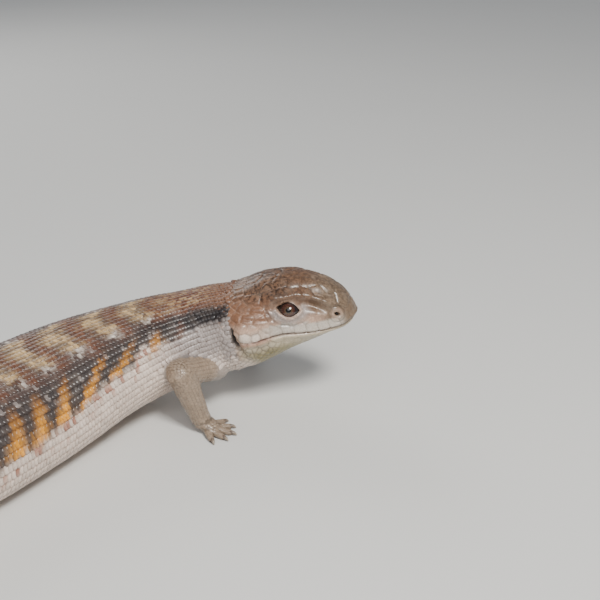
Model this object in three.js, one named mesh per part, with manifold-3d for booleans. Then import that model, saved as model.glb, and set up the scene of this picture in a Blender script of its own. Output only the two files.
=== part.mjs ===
/**
 * Blue-tongued skink, life size, as a still model that rests on its belly, tail and four feet.
 *
 * Units are millimetres. The origin is on the floor under the middle of the belly, +X points
 * forwards along the trunk, +Y to the animal's left and +Z up. The neck bends the head to the
 * right, and the tail swings out behind in a shallow curve.
 *
 * Head, neck, trunk and tail are one lofted body, divided by thin cuts. Its cross sections come
 * from the table of stations below, which counts millimetres back from the tip of the snout.
 */
import * as THREE from 'three';
import { mergeVertices } from 'three/addons/utils/BufferGeometryUtils.js';
import Module from 'manifold-3d';

const wasm = await Module();
wasm.setup();

// Driving sizes
const JOINT_GAP = 0.3;
const SMALLEST_DETAIL = 0.02;
const TOTAL_LENGTH = 482;
const BELLY_STATION = 190;
const SHOULDER_STATION = 84;
const NAPE_STATION = 55;
const SNOUT_ROUNDING = 7;
const TAIL_TIP_ROUNDING = 3;
const HEAD_PITCH = 9;
const NECK_PITCH = 17;
const HEADING_OF_HEAD = -48;

/**
 * Cross sections: distance behind the snout tip, half width, height of the back above the body's
 * axis, depth of the belly below it, squareness above and below (2 is an ellipse), and how much
 * the section narrows towards its top.
 */
const STATIONS = [
  // at, halfWidth, back, belly, squareTop, squareBottom, taper
  [0, 8.6, 6.8, 4.4, 2.3, 2.1, 0.12],
  [7, 10.6, 12.8, 6.4, 2.5, 2.2, 0.2],
  [16, 14.2, 18, 9.2, 2.7, 2.3, 0.26],
  [27, 17.4, 21.2, 12.4, 2.7, 2.4, 0.26],
  [37, 19.8, 20.6, 16.4, 2.5, 2.4, 0.2],
  [46, 20.4, 18.2, 20.2, 2.3, 2.3, 0.12],
  [56, 19.6, 15.8, 22, 2.15, 2.2, 0.05],
  [68, 21, 15.6, 22.4, 2.1, 2.15, 0],
  [SHOULDER_STATION, 23.6, 17, 22, 2.15, 2.2, 0],
  [106, 27.6, 19.4, 21, 2.15, 2.2, 0],
  [140, 33.5, 21.7, 20.5, 2.2, 2.4, 0],
  [190, 38.5, 21.8, 21, 2.2, 2.6, 0],
  [235, 35.5, 20.8, 20, 2.2, 2.5, 0],
  [275, 26.5, 18, 16.5, 2.1, 2.3, 0],
  [297, 19.5, 16, 14, 2.1, 2.2, 0],
  [320, 15.5, 14, 12.5, 2.1, 2.2, 0],
  [400, 9, 9, 8, 2.1, 2.1, 0],
  [TOTAL_LENGTH, 2.4, 2.4, 2.2, 2, 2, 0],
];

// Height of the underside above the floor. It is slightly negative where the body lies flattened.
const LIFTS = [
  [SHOULDER_STATION, 9],
  [116, 4],
  [160, -1.2],
  [235, -1.2],
  [297, -0.8],
  [400, -0.6],
  [TOTAL_LENGTH, -0.4],
];

// Direction of the body in plan, in degrees to the left of +X.
const HEADINGS = [
  [0, HEADING_OF_HEAD],
  [NAPE_STATION, HEADING_OF_HEAD],
  [72, -33],
  [92, -16],
  [140, 2],
  [BELLY_STATION, 12],
  [235, 9],
  [285, -8],
  [340, -26],
  [400, -14],
  [TOTAL_LENGTH, 32],
];

const radians = THREE.MathUtils.degToRad;

/** A smooth curve through rows of [x, y...] that never overshoots, read at x from one column. */
function curveThrough(rows, column = 1) {
  const xs = rows.map((row) => row[0]);
  const ys = rows.map((row) => row[column]);
  const last = xs.length - 1;
  const chords = xs.slice(1).map((x, i) => (ys[i + 1] - ys[i]) / (x - xs[i]));
  const slopes = xs.map((_, i) => {
    if (i === 0) return chords[0];
    if (i === last) return chords[last - 1];
    const [before, after] = [chords[i - 1], chords[i]];
    return before * after <= 0 ? 0 : (2 * before * after) / (before + after);
  });
  return (x) => {
    const at = Math.min(Math.max(x, xs[0]), xs[last]);
    let i = 0;
    while (i < last - 1 && at > xs[i + 1]) i += 1;
    const width = xs[i + 1] - xs[i];
    const u = (at - xs[i]) / width;
    const [rise, fall] = [u * u * (3 - 2 * u), 1 - u * u * (3 - 2 * u)];
    const lead = u * (1 - u) * (1 - u) * width;
    const trail = u * u * (u - 1) * width;
    return ys[i] * fall + ys[i + 1] * rise + slopes[i] * lead + slopes[i + 1] * trail;
  };
}

const section = {
  halfWidth: curveThrough(STATIONS, 1),
  back: curveThrough(STATIONS, 2),
  belly: curveThrough(STATIONS, 3),
  squareTop: curveThrough(STATIONS, 4),
  squareBottom: curveThrough(STATIONS, 5),
  taper: curveThrough(STATIONS, 6),
};
const liftAt = curveThrough(LIFTS);
const headingAt = curveThrough(HEADINGS);

/** Quarter-circle rounding that closes the snout and the tip of the tail. */
function endRounding(at) {
  const round = (distance, radius) => {
    const u = Math.min(Math.max(distance / radius, 0), 1);
    return Math.sqrt(1 - (1 - u) * (1 - u));
  };
  return round(at, SNOUT_ROUNDING) * round(TOTAL_LENGTH - at, TAIL_TIP_ROUNDING);
}

/** The body's axis: one frame for each millimetre back from the snout. */
function makeSpine() {
  const restingHeight = (at) => liftAt(at) + section.belly(at);
  const shoulderPitch = Math.asin(
    restingHeight(SHOULDER_STATION) - restingHeight(SHOULDER_STATION + 1),
  );
  const pitchAhead = curveThrough([
    [0, radians(HEAD_PITCH)],
    [NAPE_STATION, radians(HEAD_PITCH)],
    [70, radians(NECK_PITCH)],
    [SHOULDER_STATION, shoulderPitch],
  ]);
  const pitchAt = (at) => (at < SHOULDER_STATION
    ? pitchAhead(at)
    : Math.asin(restingHeight(at - 0.5) - restingHeight(at + 0.5)));
  const forwardAt = (at) => {
    const [heading, pitch] = [radians(headingAt(at)), pitchAt(at)];
    return new THREE.Vector3(
      Math.cos(pitch) * Math.cos(heading),
      Math.cos(pitch) * Math.sin(heading),
      Math.sin(pitch),
    );
  };
  const points = [];
  points[BELLY_STATION] = new THREE.Vector3(0, 0, restingHeight(BELLY_STATION));
  for (let at = BELLY_STATION; at < TOTAL_LENGTH; at += 1) {
    points[at + 1] = points[at].clone().sub(forwardAt(at + 0.5));
  }
  for (let at = BELLY_STATION; at > 0; at -= 1) {
    points[at - 1] = points[at].clone().add(forwardAt(at - 0.5));
  }
  return (at) => {
    const i = Math.min(Math.max(Math.floor(at), 0), TOTAL_LENGTH - 1);
    const origin = points[i].clone().lerp(points[i + 1], at - i);
    const forward = forwardAt(at);
    const heading = radians(headingAt(at));
    const left = new THREE.Vector3(-Math.sin(heading), Math.cos(heading), 0);
    return { origin, forward, left, up: forward.clone().cross(left) };
  };
}

const spineAt = makeSpine();

/** Swellings and hollows of the head: at, side, height, reach along, reach across, amount. */
const HEAD_FORMS = [
  [27, 15.5, 16, 8, 4.5, 1.1],
  [44, 20, 2, 8, 8, 1.6],
  [17, 13, 10, 5, 4, -0.9],
  [9, 6, 15, 6, 3, 0.5],
];

/** Swellings where the limbs leave the body: at, side, height, reach along, reach across, amount. */
const LIMB_FORMS = [
  [62, 17, -14, 8, 8, 2.4],
  [272, 26, -4, 13, 10, 3],
];

const signedPower = (value, power) => Math.sign(value) * Math.abs(value) ** power;

/** Offsets to the left and up from the axis, for an angle measured from the top of the back. */
function sectionOffset(at, angle, grow = 0) {
  const [sine, cosine] = [Math.sin(angle), Math.cos(angle)];
  const power = 2 / (cosine > 0 ? section.squareTop(at) : section.squareBottom(at));
  const level = signedPower(cosine, power);
  const height = level > 0 ? section.back(at) : section.belly(at);
  const narrowing = 1 - section.taper(at) * Math.max(level, 0) ** 1.5;
  const closing = endRounding(at);
  let side = signedPower(sine, power) * section.halfWidth(at) * narrowing * closing;
  let up = level * height * closing;
  const radius = Math.hypot(side, up) || 1;
  let swelling = grow;
  for (const [formAt, formSide, formUp, along, across, amount] of [...HEAD_FORMS, ...LIMB_FORMS]) {
    const away = ((at - formAt) / along) ** 2
      + ((Math.abs(side) - formSide) / across) ** 2
      + ((up - formUp) / across) ** 2;
    swelling += amount * Math.exp(-away);
  }
  side += (side / radius) * swelling;
  up += (up / radius) * swelling;
  return [side, up];
}

/** A point of the skin: distance back from the snout and angle round from the top of the back. */
function skinPoint(at, angle, grow = 0) {
  const { origin, left, up } = spineAt(at);
  const [side, rise] = sectionOffset(at, angle, grow);
  return origin.clone().addScaledVector(left, side).addScaledVector(up, rise);
}

/** A closed geometry from rings of points, capped at both ends. */
function loft(rings) {
  const sides = rings[0].length;
  const centres = [rings[0], rings[rings.length - 1]].map((ring) => ring
    .reduce((sum, point) => sum.add(point), new THREE.Vector3())
    .divideScalar(sides));
  const positions = [...rings.flat(), ...centres].flatMap((point) => point.toArray());
  const index = [];
  rings.slice(1).forEach((_, ring) => {
    for (let i = 0; i < sides; i += 1) {
      const next = (i + 1) % sides;
      const [a, b] = [ring * sides + i, ring * sides + next];
      index.push(a, b, a + sides, b, b + sides, a + sides);
    }
  });
  const first = rings.length * sides;
  for (let i = 0; i < sides; i += 1) {
    const next = (i + 1) % sides;
    index.push(first, next, i);
    index.push(first + 1, first - sides + i, first - sides + next);
  }
  const geometry = new THREE.BufferGeometry();
  geometry.setAttribute('position', new THREE.Float32BufferAttribute(positions, 3));
  geometry.setIndex(index);
  return geometry;
}

/** A three.js geometry as a solid for joining and cutting. */
function toSolid(geometry) {
  const bare = geometry.clone();
  bare.deleteAttribute('normal');
  bare.deleteAttribute('uv');
  const merged = mergeVertices(bare, 1e-4);
  const made = new wasm.Manifold(new wasm.Mesh({
    numProp: 3,
    vertProperties: new Float32Array(merged.attributes.position.array),
    triVerts: new Uint32Array(merged.index.array),
  }));
  if (made.volume() > 0) return made;
  const flipped = new Uint32Array(merged.index.array);
  for (let i = 0; i < flipped.length; i += 3) {
    [flipped[i + 1], flipped[i + 2]] = [flipped[i + 2], flipped[i + 1]];
  }
  return new wasm.Manifold(new wasm.Mesh({
    numProp: 3,
    vertProperties: new Float32Array(merged.attributes.position.array),
    triVerts: flipped,
  }));
}

/** The largest closed surface of a solid, as a three.js geometry without slivers. */
function toGeometry(solid) {
  const largest = solid.decompose().reduce((a, b) => (b.volume() > a.volume() ? b : a));
  const mesh = largest.simplify(SMALLEST_DETAIL).getMesh();
  const geometry = new THREE.BufferGeometry();
  geometry.setAttribute('position', new THREE.Float32BufferAttribute(mesh.vertProperties, 3));
  geometry.setIndex(Array.from(mesh.triVerts));
  geometry.computeVertexNormals();
  return geometry;
}

// The floor's half space, which flattens whatever rests on it.
const BELOW_FLOOR = toSolid(new THREE.BoxGeometry(1200, 1200, 100).translate(0, 0, -50));

/** Evenly spaced numbers from low to high, about one step apart, both ends included. */
function spread(low, high, step) {
  const count = Math.max(1, Math.round((high - low) / step));
  return Array.from({ length: count + 1 }, (_, i) => low + ((high - low) * i) / count);
}

/** A length of the body between two stations. */
function bodyLength(from, to, step, sides, grow = 0) {
  const stations = spread(from, to, step);
  return toSolid(loft(stations.map((at) => Array.from(
    { length: sides },
    (_, i) => skinPoint(at, (2 * Math.PI * i) / sides, grow),
  ))));
}

/** A tube of oval rings along given centres; each ring states its half width and half height. */
function ovalTube(centres, halfWidths, halfHeights, sides, between = 3) {
  const path = new THREE.CatmullRomCurve3(centres, false, 'centripetal');
  const along = (values, u) => curveThrough(
    values.map((value, i) => [i / (values.length - 1), value]),
  )(u);
  const roof = new THREE.Vector3(0, 0, 1);
  const steps = (centres.length - 1) * between;
  return toSolid(loft(Array.from({ length: steps + 1 }, (_, ring) => {
    const u = ring / steps;
    const forward = path.getTangent(u);
    const side = roof.clone().cross(forward).normalize();
    const up = forward.clone().cross(side);
    const centre = path.getPoint(u);
    return Array.from({ length: sides }, (__, i) => {
      const angle = (2 * Math.PI * i) / sides;
      return centre.clone()
        .addScaledVector(side, Math.sin(angle) * along(halfWidths, u))
        .addScaledVector(up, Math.cos(angle) * along(halfHeights, u));
    });
  })));
}

/** The half space beyond a plane across a limb, less half of the gap at a joint. */
function beyond(centre, direction) {
  const reach = 200;
  const block = new THREE.BoxGeometry(reach, reach, reach)
    .translate(reach / 2 + JOINT_GAP / 2, 0, 0);
  block.applyQuaternion(new THREE.Quaternion().setFromUnitVectors(
    new THREE.Vector3(1, 0, 0),
    direction.clone().normalize(),
  ));
  return toSolid(block.translate(...centre));
}

// Materials
const finish = (color, roughness = 0.55) => new THREE.MeshStandardMaterial({
  color, roughness, metalness: 0,
});
const materials = {
  crown: finish(0x9a7358, 0.45),
  jaw: finish(0xd6cdb8),
  back: finish(0x8a6a52),
  tail: finish(0x7d6048),
  limb: finish(0xa2907c),
  eye: finish(0x33241c, 0.1),
};

const skink = new THREE.Group();
skink.name = 'blue_tongued_skink';

/** Adds a solid to the model as a named node. */
function addNode(name, solid, material, parent = skink) {
  const mesh = new THREE.Mesh(toGeometry(solid), material);
  mesh.name = name;
  parent.add(mesh);
}

// Head: eyes, lids, nostrils, ears and the line of the mouth
const EYE_STATION = 26.4;
const EYE_HEIGHT = 9.6;
const EYE_RADIUS = 5;
const LID_THICKNESS = 0.8;
const EYE_OPENING = { halfLength: 4.6, halfHeight: 2.8, depth: 12 };
const EYE_PROUD = 1;
const NOSTRIL = { at: 6.6, height: 2.8, halfLength: 1.28, halfHeight: 0.76, depth: 3.5, narrowing: 0.7 };
const EAR = { at: 49.5, height: -0.5, halfLength: 1.4, halfHeight: 5.2, depth: 4.5, lean: 18 };
const MOUTH_CORNER = 42;
const JAW_HINGE = { behind: 1.2, height: -3, lean: 1.8 };
const HEAD_RINGS = { step: 2.75, sides: 36 };

/** Lips: height from the mouth line, depth of their middle under the skin, size, and their ends. */
const LIP = {
  above: 1.2,
  below: -1.3,
  sunk: 0.75,
  halfWidth: 1.15,
  halfHeight: 1.1,
  endShare: 0.35,
  stations: [40, 35, 29, 22, 15, 9, 4.5, 1.6],
};

/** Height of the mouth line above the head's axis. */
const mouthHeight = curveThrough([
  [0, -1.6], [8, -3.2], [15, -3], [22, -2.2], [30, -0.9], [36, -1.4], [MOUTH_CORNER, -2.4], [60, -3],
]);

/** The angle round the section at which the skin reaches a given height above the axis. */
function angleAtHeight(at, height) {
  let [low, high] = [0, Math.PI];
  for (let i = 0; i < 30; i += 1) {
    const middle = (low + high) / 2;
    if (sectionOffset(at, middle)[1] > height) low = middle;
    else high = middle;
  }
  return (low + high) / 2;
}

/** A point on the side of the head, and the way the skin faces there. */
function headSide(side, at, height, grow = 0) {
  const angle = side * angleAtHeight(at, height);
  const point = skinPoint(at, angle, grow);
  const ahead = skinPoint(at - 1, angle).sub(skinPoint(at + 1, angle));
  const round = skinPoint(at, angle + 0.05).sub(skinPoint(at, angle - 0.05));
  const facing = round.cross(ahead).normalize();
  const outward = point.clone().sub(spineAt(at).origin);
  if (facing.dot(outward) < 0) facing.negate();
  return { point, facing };
}

/** Turns a geometry made along +Z to face a direction, keeping its +X along the head. */
function face(geometry, facing, forward, position) {
  const z = facing.clone().normalize();
  const x = forward.clone().addScaledVector(z, -forward.dot(z)).normalize();
  const y = z.clone().cross(x);
  geometry.applyMatrix4(new THREE.Matrix4().makeBasis(x, y, z).setPosition(position));
  return geometry;
}

/** The jaw's outline in side view, grown outwards, as a block across the whole head. */
function jawBlock(grow) {
  const outline = new THREE.Shape();
  const reach = 40;
  const line = spread(-6, MOUTH_CORNER, 4).map((at) => [at, mouthHeight(at) + grow]);
  outline.moveTo(-line[0][0], line[0][1]);
  line.slice(1).forEach(([at, height]) => outline.lineTo(-at, height));
  const hinge = -MOUTH_CORNER - JAW_HINGE.behind - grow;
  outline.lineTo(hinge, JAW_HINGE.height);
  outline.lineTo(hinge - JAW_HINGE.lean, -reach);
  outline.lineTo(6, -reach);
  const block = new THREE.ExtrudeGeometry(outline, { depth: 2 * reach, bevelEnabled: false });
  block.translate(0, 0, -reach);
  const { origin, forward, left, up } = spineAt(0);
  block.applyMatrix4(new THREE.Matrix4()
    .makeBasis(forward, up, left.clone().negate())
    .setPosition(origin));
  return toSolid(block);
}

/** A lip: a slender roll from one corner of the mouth round the snout to the other. */
function lip(offset) {
  const point = (side, at) => headSide(side, at, mouthHeight(at) + offset, -LIP.sunk).point;
  const centres = [
    ...LIP.stations.map((at) => point(-1, at)),
    ...LIP.stations.map((at) => point(1, at)).reverse(),
  ];
  const ends = [LIP.endShare, 1, 1, 1, 1, 1, 1, LIP.endShare];
  return ovalTube(
    centres,
    ends.map((share) => share * LIP.halfWidth),
    ends.map((share) => share * LIP.halfHeight),
    6,
    1,
  );
}

function buildHead() {
  const { forward } = spineAt(EYE_STATION);
  const nape = NAPE_STATION - JOINT_GAP / 2;
  let head = bodyLength(0, nape, HEAD_RINGS.step, HEAD_RINGS.sides);
  const eyes = {};
  for (const [name, side] of [['left', 1], ['right', -1]]) {
    const socket = headSide(side, EYE_STATION, EYE_HEIGHT, EYE_PROUD - EYE_RADIUS - LID_THICKNESS);
    const ball = (radius) => toSolid(
      new THREE.IcosahedronGeometry(radius, 3).translate(...socket.point),
    );
    const gape = new THREE.CylinderGeometry(1, 1, EYE_OPENING.depth, 16)
      .rotateX(Math.PI / 2)
      .translate(0, 0, EYE_OPENING.depth / 2)
      .scale(EYE_OPENING.halfLength, EYE_OPENING.halfHeight, 1);
    head = head
      .add(ball(EYE_RADIUS + LID_THICKNESS))
      .subtract(ball(EYE_RADIUS + JOINT_GAP))
      .subtract(toSolid(face(gape, socket.facing, forward, socket.point)));
    eyes[name] = ball(EYE_RADIUS);

    const nostril = headSide(side, NOSTRIL.at, NOSTRIL.height);
    const hole = new THREE.CylinderGeometry(1, NOSTRIL.narrowing, 2 * NOSTRIL.depth, 10)
      .rotateX(Math.PI / 2)
      .scale(NOSTRIL.halfLength, NOSTRIL.halfHeight, 1);
    head = head.subtract(toSolid(face(hole, nostril.facing, forward, nostril.point)));

    const ear = headSide(side, EAR.at, EAR.height);
    const cup = new THREE.SphereGeometry(1, 14, 10)
      .scale(EAR.halfLength, EAR.halfHeight, EAR.depth)
      .rotateZ(-side * radians(EAR.lean));
    head = head.subtract(toSolid(face(cup, ear.facing, forward, ear.point)));
  }
  head = head.add(lip(LIP.above)).add(lip(LIP.below));
  addNode('jaw', head.intersect(jawBlock(0)), materials.jaw);
  addNode('head', head.subtract(jawBlock(JOINT_GAP)), materials.crown);
  addNode('left_eye', eyes.left, materials.eye);
  addNode('right_eye', eyes.right, materials.eye);
}

// Neck, trunk and tail
const LENGTHS = [
  // name, from, to, ring spacing, sides, material
  ['neck', NAPE_STATION, 76, 5.2, 28, materials.back],
  ['chest', 76, 146, 7, 30, materials.back],
  ['trunk', 146, 235, 9, 30, materials.back],
  ['loin', 235, 300, 7, 30, materials.back],
  ['tail_root', 300, 360, 8, 22, materials.tail],
  ['tail_middle', 360, 425, 9, 18, materials.tail],
  ['tail_tip', 425, TOTAL_LENGTH, 6, 14, materials.tail],
];

function buildBody() {
  for (const [name, from, to, step, sides, material] of LENGTHS) {
    const end = to === TOTAL_LENGTH ? to : to - JOINT_GAP / 2;
    const length = bodyLength(from + JOINT_GAP / 2, end, step, sides);
    addNode(name, length.subtract(BELOW_FLOOR), material);
  }
}

// Limbs
const FLOOR_PRESS = 0.4;
const FORE = {
  station: 60,
  root: { across: 0.62, up: -16 },
  upperWidths: [6.6, 5.9, 5.5, 5.7],
  lowerWidths: [5.6, 4.8, 3.9],
  palm: { length: 6.6, halfWidth: 4.6, halfHeight: 2.7 },
  toes: [
    { turn: 58, length: 3.6 }, { turn: 28, length: 5.4 }, { turn: 4, length: 6.2 },
    { turn: -18, length: 5.8 }, { turn: -46, length: 4.2 },
  ],
  toeRadius: 1.35,
  claw: 2.6,
};
const HIND = {
  station: 273,
  root: { across: 0.75, up: -4 },
  upperWidths: [9.4, 9, 7.8, 6.4],
  lowerWidths: [6.2, 5, 4.1],
  palm: { length: 9.5, halfWidth: 4.8, halfHeight: 2.9 },
  toes: [
    { turn: 42, length: 4.4 }, { turn: 20, length: 6.4 }, { turn: 2, length: 8.4 },
    { turn: -16, length: 8.8 }, { turn: -44, length: 6.4 },
  ],
  toeRadius: 1.4,
  claw: 3.2,
};
const LIMB_THINNESS = 0.92;
const UPPER_SHARES = [0, 0.45, 0.85, 1];
const LOWER_SHARES = [0.2, 0.6, 1];
const ANKLE_HEIGHT = 4.6;
const WRIST = { aboveSole: 2.6, behind: 2.5, rise: 1.5, radius: 3.4 };

/** Rings of a palm: share of its length, rise above its rest, half width and half height. */
const PALM_RINGS = [
  [0.3, 1.2, 0.92, 1.15],
  [0.75, 0, 1, 1],
  [1.15, -0.6, 0.7, 0.6],
];

/** Toes: how far apart and how far back their roots stand, and their rise at arch and tip. */
const TOE = { spread: 0.72, outerSetback: 0.7, rootInside: 1.6, archRise: 0.7, tipRise: 0.35 };
const TOE_WIDTHS = [1.15, 1, 0.78];
const TOE_HEIGHTS = [1.1, 1, 0.8];

/** Claws: thickness as a share of the toe's, depth of the root, and drop at half length and tip. */
const CLAW = { thickness: 0.62, root: 1.2, halfwayDrop: 0.1, tipDrop: 0.42, tipRadius: 0.18 };

/**
 * Poses: each joint as millimetres forward, outward and up from the last, in the body's own
 * directions at the limb's root, and the way the foot points, in degrees outward from forward.
 */
const LIMB_POSES = {
  right_fore: { kind: FORE, side: -1, elbow: [-12.2, 20, 6.9], hand: [8.5, -0.6], points: 14 },
  left_fore: { kind: FORE, side: 1, elbow: [-13, 20, 5], hand: [14, 7], points: 24 },
  right_hind: { kind: HIND, side: -1, elbow: [17, 22, 1], hand: [-13, 13], points: 48 },
  left_hind: { kind: HIND, side: 1, elbow: [11, 25, 2], hand: [-17, 11], points: 40 },
};

/** The joints of a limb, from inside the body to the ankle or wrist. */
function limbJoints({ kind, side, elbow, hand }) {
  const { origin, left, forward } = spineAt(kind.station);
  const ahead = forward.clone().setZ(0).normalize();
  const out = left.clone().multiplyScalar(side);
  const step = (from, [forwards, outwards, up = 0]) => from.clone()
    .addScaledVector(ahead, forwards)
    .addScaledVector(out, outwards)
    .add(new THREE.Vector3(0, 0, up));
  const root = step(origin, [0, section.halfWidth(kind.station) * kind.root.across, kind.root.up]);
  const bend = step(root, elbow);
  const end = step(bend, hand).setZ(ANKLE_HEIGHT);
  return { root, bend, end, ahead, out };
}

/** A claw: a short cone that curves down to its point. */
function claw(base, direction, length, radius) {
  const ring = (distance, drop) => base.clone()
    .addScaledVector(direction, distance)
    .add(new THREE.Vector3(0, 0, -drop * length));
  const centres = [
    ring(-CLAW.root, 0),
    ring(length / 2, CLAW.halfwayDrop),
    ring(length, CLAW.tipDrop),
  ];
  const radii = [radius, radius * 0.82, CLAW.tipRadius];
  return ovalTube(centres, radii, radii, 6, 2);
}

/** The way a foot points: degrees outward from the body's forward direction. */
function aim({ ahead, out }, degrees) {
  return ahead.clone()
    .multiplyScalar(Math.cos(radians(degrees)))
    .addScaledVector(out, Math.sin(radians(degrees)));
}

/** A hand or foot: palm, five toes and their claws, joined. */
function foot({ kind, side, points }, joints) {
  const { palm, toeRadius } = kind;
  const wrist = joints.end;
  const forward = aim(joints, points);
  const level = (point, height) => point.clone().setZ(height);
  const resting = palm.halfHeight - FLOOR_PRESS;
  let solid = ovalTube(
    [
      level(wrist.clone().addScaledVector(forward, -WRIST.behind), ANKLE_HEIGHT + WRIST.rise),
      ...PALM_RINGS.map(([share, rise]) => level(
        wrist.clone().addScaledVector(forward, palm.length * share),
        resting + rise,
      )),
    ],
    [WRIST.radius, ...PALM_RINGS.map(([, , width]) => width * palm.halfWidth)],
    [WRIST.radius, ...PALM_RINGS.map(([, , , height]) => height * palm.halfHeight)],
    12,
    2,
  );
  const knuckles = level(wrist.clone().addScaledVector(forward, palm.length), resting);
  const across = new THREE.Vector3(0, 0, 1).cross(forward);
  kind.toes.forEach(({ turn, length }, digit) => {
    const fromMiddle = digit - 2;
    const direction = aim(joints, points - turn);
    const base = knuckles.clone()
      .addScaledVector(across, (fromMiddle / 2) * palm.halfWidth * TOE.spread * side)
      .addScaledVector(forward, -Math.abs(fromMiddle) * TOE.outerSetback - TOE.rootInside);
    const low = toeRadius - FLOOR_PRESS;
    const reach = length + TOE.rootInside;
    const arch = level(base.clone().addScaledVector(direction, reach / 2), low + TOE.archRise);
    const tip = level(base.clone().addScaledVector(direction, reach), low + TOE.tipRise);
    const nail = level(tip, low + TOE.archRise);
    solid = solid
      .add(ovalTube(
        [base, arch, tip],
        TOE_WIDTHS.map((width) => width * toeRadius),
        TOE_HEIGHTS.map((height) => height * toeRadius),
        7,
        2,
      ))
      .add(claw(nail, direction, kind.claw, toeRadius * CLAW.thickness));
  });
  return solid;
}

function buildLimb(name, pose) {
  const { kind } = pose;
  const joints = limbJoints(pose);
  const { root, bend, end } = joints;
  const names = kind === FORE ? ['upper_arm', 'forearm', 'hand'] : ['thigh', 'shank', 'foot'];
  const prefix = name.split('_')[0];
  const widths = [...kind.upperWidths, ...kind.lowerWidths];
  const whole = ovalTube(
    [
      ...UPPER_SHARES.map((share) => root.clone().lerp(bend, share)),
      ...LOWER_SHARES.map((share) => bend.clone().lerp(end, share)),
    ],
    widths,
    widths.map((width) => width * LIMB_THINNESS),
    16,
    2,
  );
  const upperWay = bend.clone().sub(root).normalize();
  const lowerWay = end.clone().sub(bend).normalize();
  const atBend = lowerWay.clone().add(upperWay);
  const atWrist = lowerWay.clone().add(aim(joints, pose.points));
  const wrist = end.clone().addScaledVector(lowerWay, -WRIST.aboveSole);
  const nearby = 45;
  const body = bodyLength(kind.station - nearby, kind.station + nearby, 4, 48, JOINT_GAP);
  const lower = whole.intersect(beyond(bend, atBend));
  const pieces = [
    whole.intersect(beyond(bend, atBend.clone().negate())).subtract(body),
    lower.intersect(beyond(wrist, atWrist.clone().negate())).subtract(body),
    lower.add(foot(pose, joints)).intersect(beyond(wrist, atWrist)),
  ];
  names.forEach((part, i) => {
    addNode(`${prefix}_${part}`, pieces[i].subtract(BELOW_FLOOR), materials.limb);
  });
}

buildHead();
buildBody();
for (const [name, pose] of Object.entries(LIMB_POSES)) {
  buildLimb(name, pose);
}

export default skink;
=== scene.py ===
"""Blue-tongued skink, life size: skin, overlapping scales, head shields, eyes and claws.

The skin is lofted from a table of cross sections counted back from the tip of the snout, the
same values that the solids were made from. Scales are laid over it in staggered rows. Lengths
inside the script are millimetres; meshes are made in metres.
"""
import math
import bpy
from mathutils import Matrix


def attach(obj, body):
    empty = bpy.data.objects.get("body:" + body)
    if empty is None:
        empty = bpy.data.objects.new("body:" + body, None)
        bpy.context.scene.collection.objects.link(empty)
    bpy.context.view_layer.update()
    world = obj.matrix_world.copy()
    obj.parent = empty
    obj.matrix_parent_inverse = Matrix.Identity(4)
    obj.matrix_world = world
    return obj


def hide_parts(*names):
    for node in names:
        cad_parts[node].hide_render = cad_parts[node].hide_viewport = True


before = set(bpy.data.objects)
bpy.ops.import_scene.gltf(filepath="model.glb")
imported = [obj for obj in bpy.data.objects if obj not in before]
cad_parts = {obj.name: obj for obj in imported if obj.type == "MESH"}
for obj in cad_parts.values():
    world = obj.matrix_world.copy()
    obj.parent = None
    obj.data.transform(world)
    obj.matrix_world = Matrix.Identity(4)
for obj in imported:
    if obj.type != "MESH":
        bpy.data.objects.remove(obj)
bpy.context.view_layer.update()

from types import SimpleNamespace

import bpy
import numpy as np
from bpy.props import FloatProperty, FloatVectorProperty, IntProperty, PointerProperty
from mathutils import Vector
from mathutils.bvhtree import BVHTree
from mathutils.noise import noise as soft_noise

MM = 0.001

bl_info = {
    "name": "Blue-tongued skink",
    "version": (1, 0, 0),
    "blender": (4, 5, 0),
    "location": "3D View > Sidebar > Skink",
    "description": "Builds a life-size blue-tongued skink with its scales, shields, eyes and claws",
    "category": "Object",
}

# Body: the same named values as the solids, in millimetres and degrees
TOTAL_LENGTH = 482.0
BELLY_STATION = 190
SHOULDER_STATION = 84
NAPE_STATION = 55
SNOUT_ROUNDING = 7.0
TAIL_TIP_ROUNDING = 3.0
HEAD_PITCH = 9.0
NECK_PITCH = 17.0
STATIONS = [
    # distance back, half width, back, belly, squareness above and below, taper
    (0, 8.6, 6.8, 4.4, 2.3, 2.1, 0.12),
    (7, 10.6, 12.8, 6.4, 2.5, 2.2, 0.2),
    (16, 14.2, 18, 9.2, 2.7, 2.3, 0.26),
    (27, 17.4, 21.2, 12.4, 2.7, 2.4, 0.26),
    (37, 19.8, 20.6, 16.4, 2.5, 2.4, 0.2),
    (46, 20.4, 18.2, 20.2, 2.3, 2.3, 0.12),
    (56, 19.6, 15.8, 22, 2.15, 2.2, 0.05),
    (68, 21, 15.6, 22.4, 2.1, 2.15, 0),
    (SHOULDER_STATION, 23.6, 17, 22, 2.15, 2.2, 0),
    (106, 27.6, 19.4, 21, 2.15, 2.2, 0),
    (140, 33.5, 21.7, 20.5, 2.2, 2.4, 0),
    (190, 38.5, 21.8, 21, 2.2, 2.6, 0),
    (235, 35.5, 20.8, 20, 2.2, 2.5, 0),
    (275, 26.5, 18, 16.5, 2.1, 2.3, 0),
    (297, 19.5, 16, 14, 2.1, 2.2, 0),
    (320, 15.5, 14, 12.5, 2.1, 2.2, 0),
    (400, 9, 9, 8, 2.1, 2.1, 0),
    (TOTAL_LENGTH, 2.4, 2.4, 2.2, 2, 2, 0),
]
LIFTS = [
    (SHOULDER_STATION, 9), (116, 4), (160, -1.2), (235, -1.2), (297, -0.8), (400, -0.6),
    (TOTAL_LENGTH, -0.4),
]
HEADINGS = [
    (0, -48), (NAPE_STATION, -48), (72, -33), (92, -16), (140, 2), (BELLY_STATION, 12),
    (235, 9), (285, -8), (340, -26), (400, -14), (TOTAL_LENGTH, 32),
]
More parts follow.
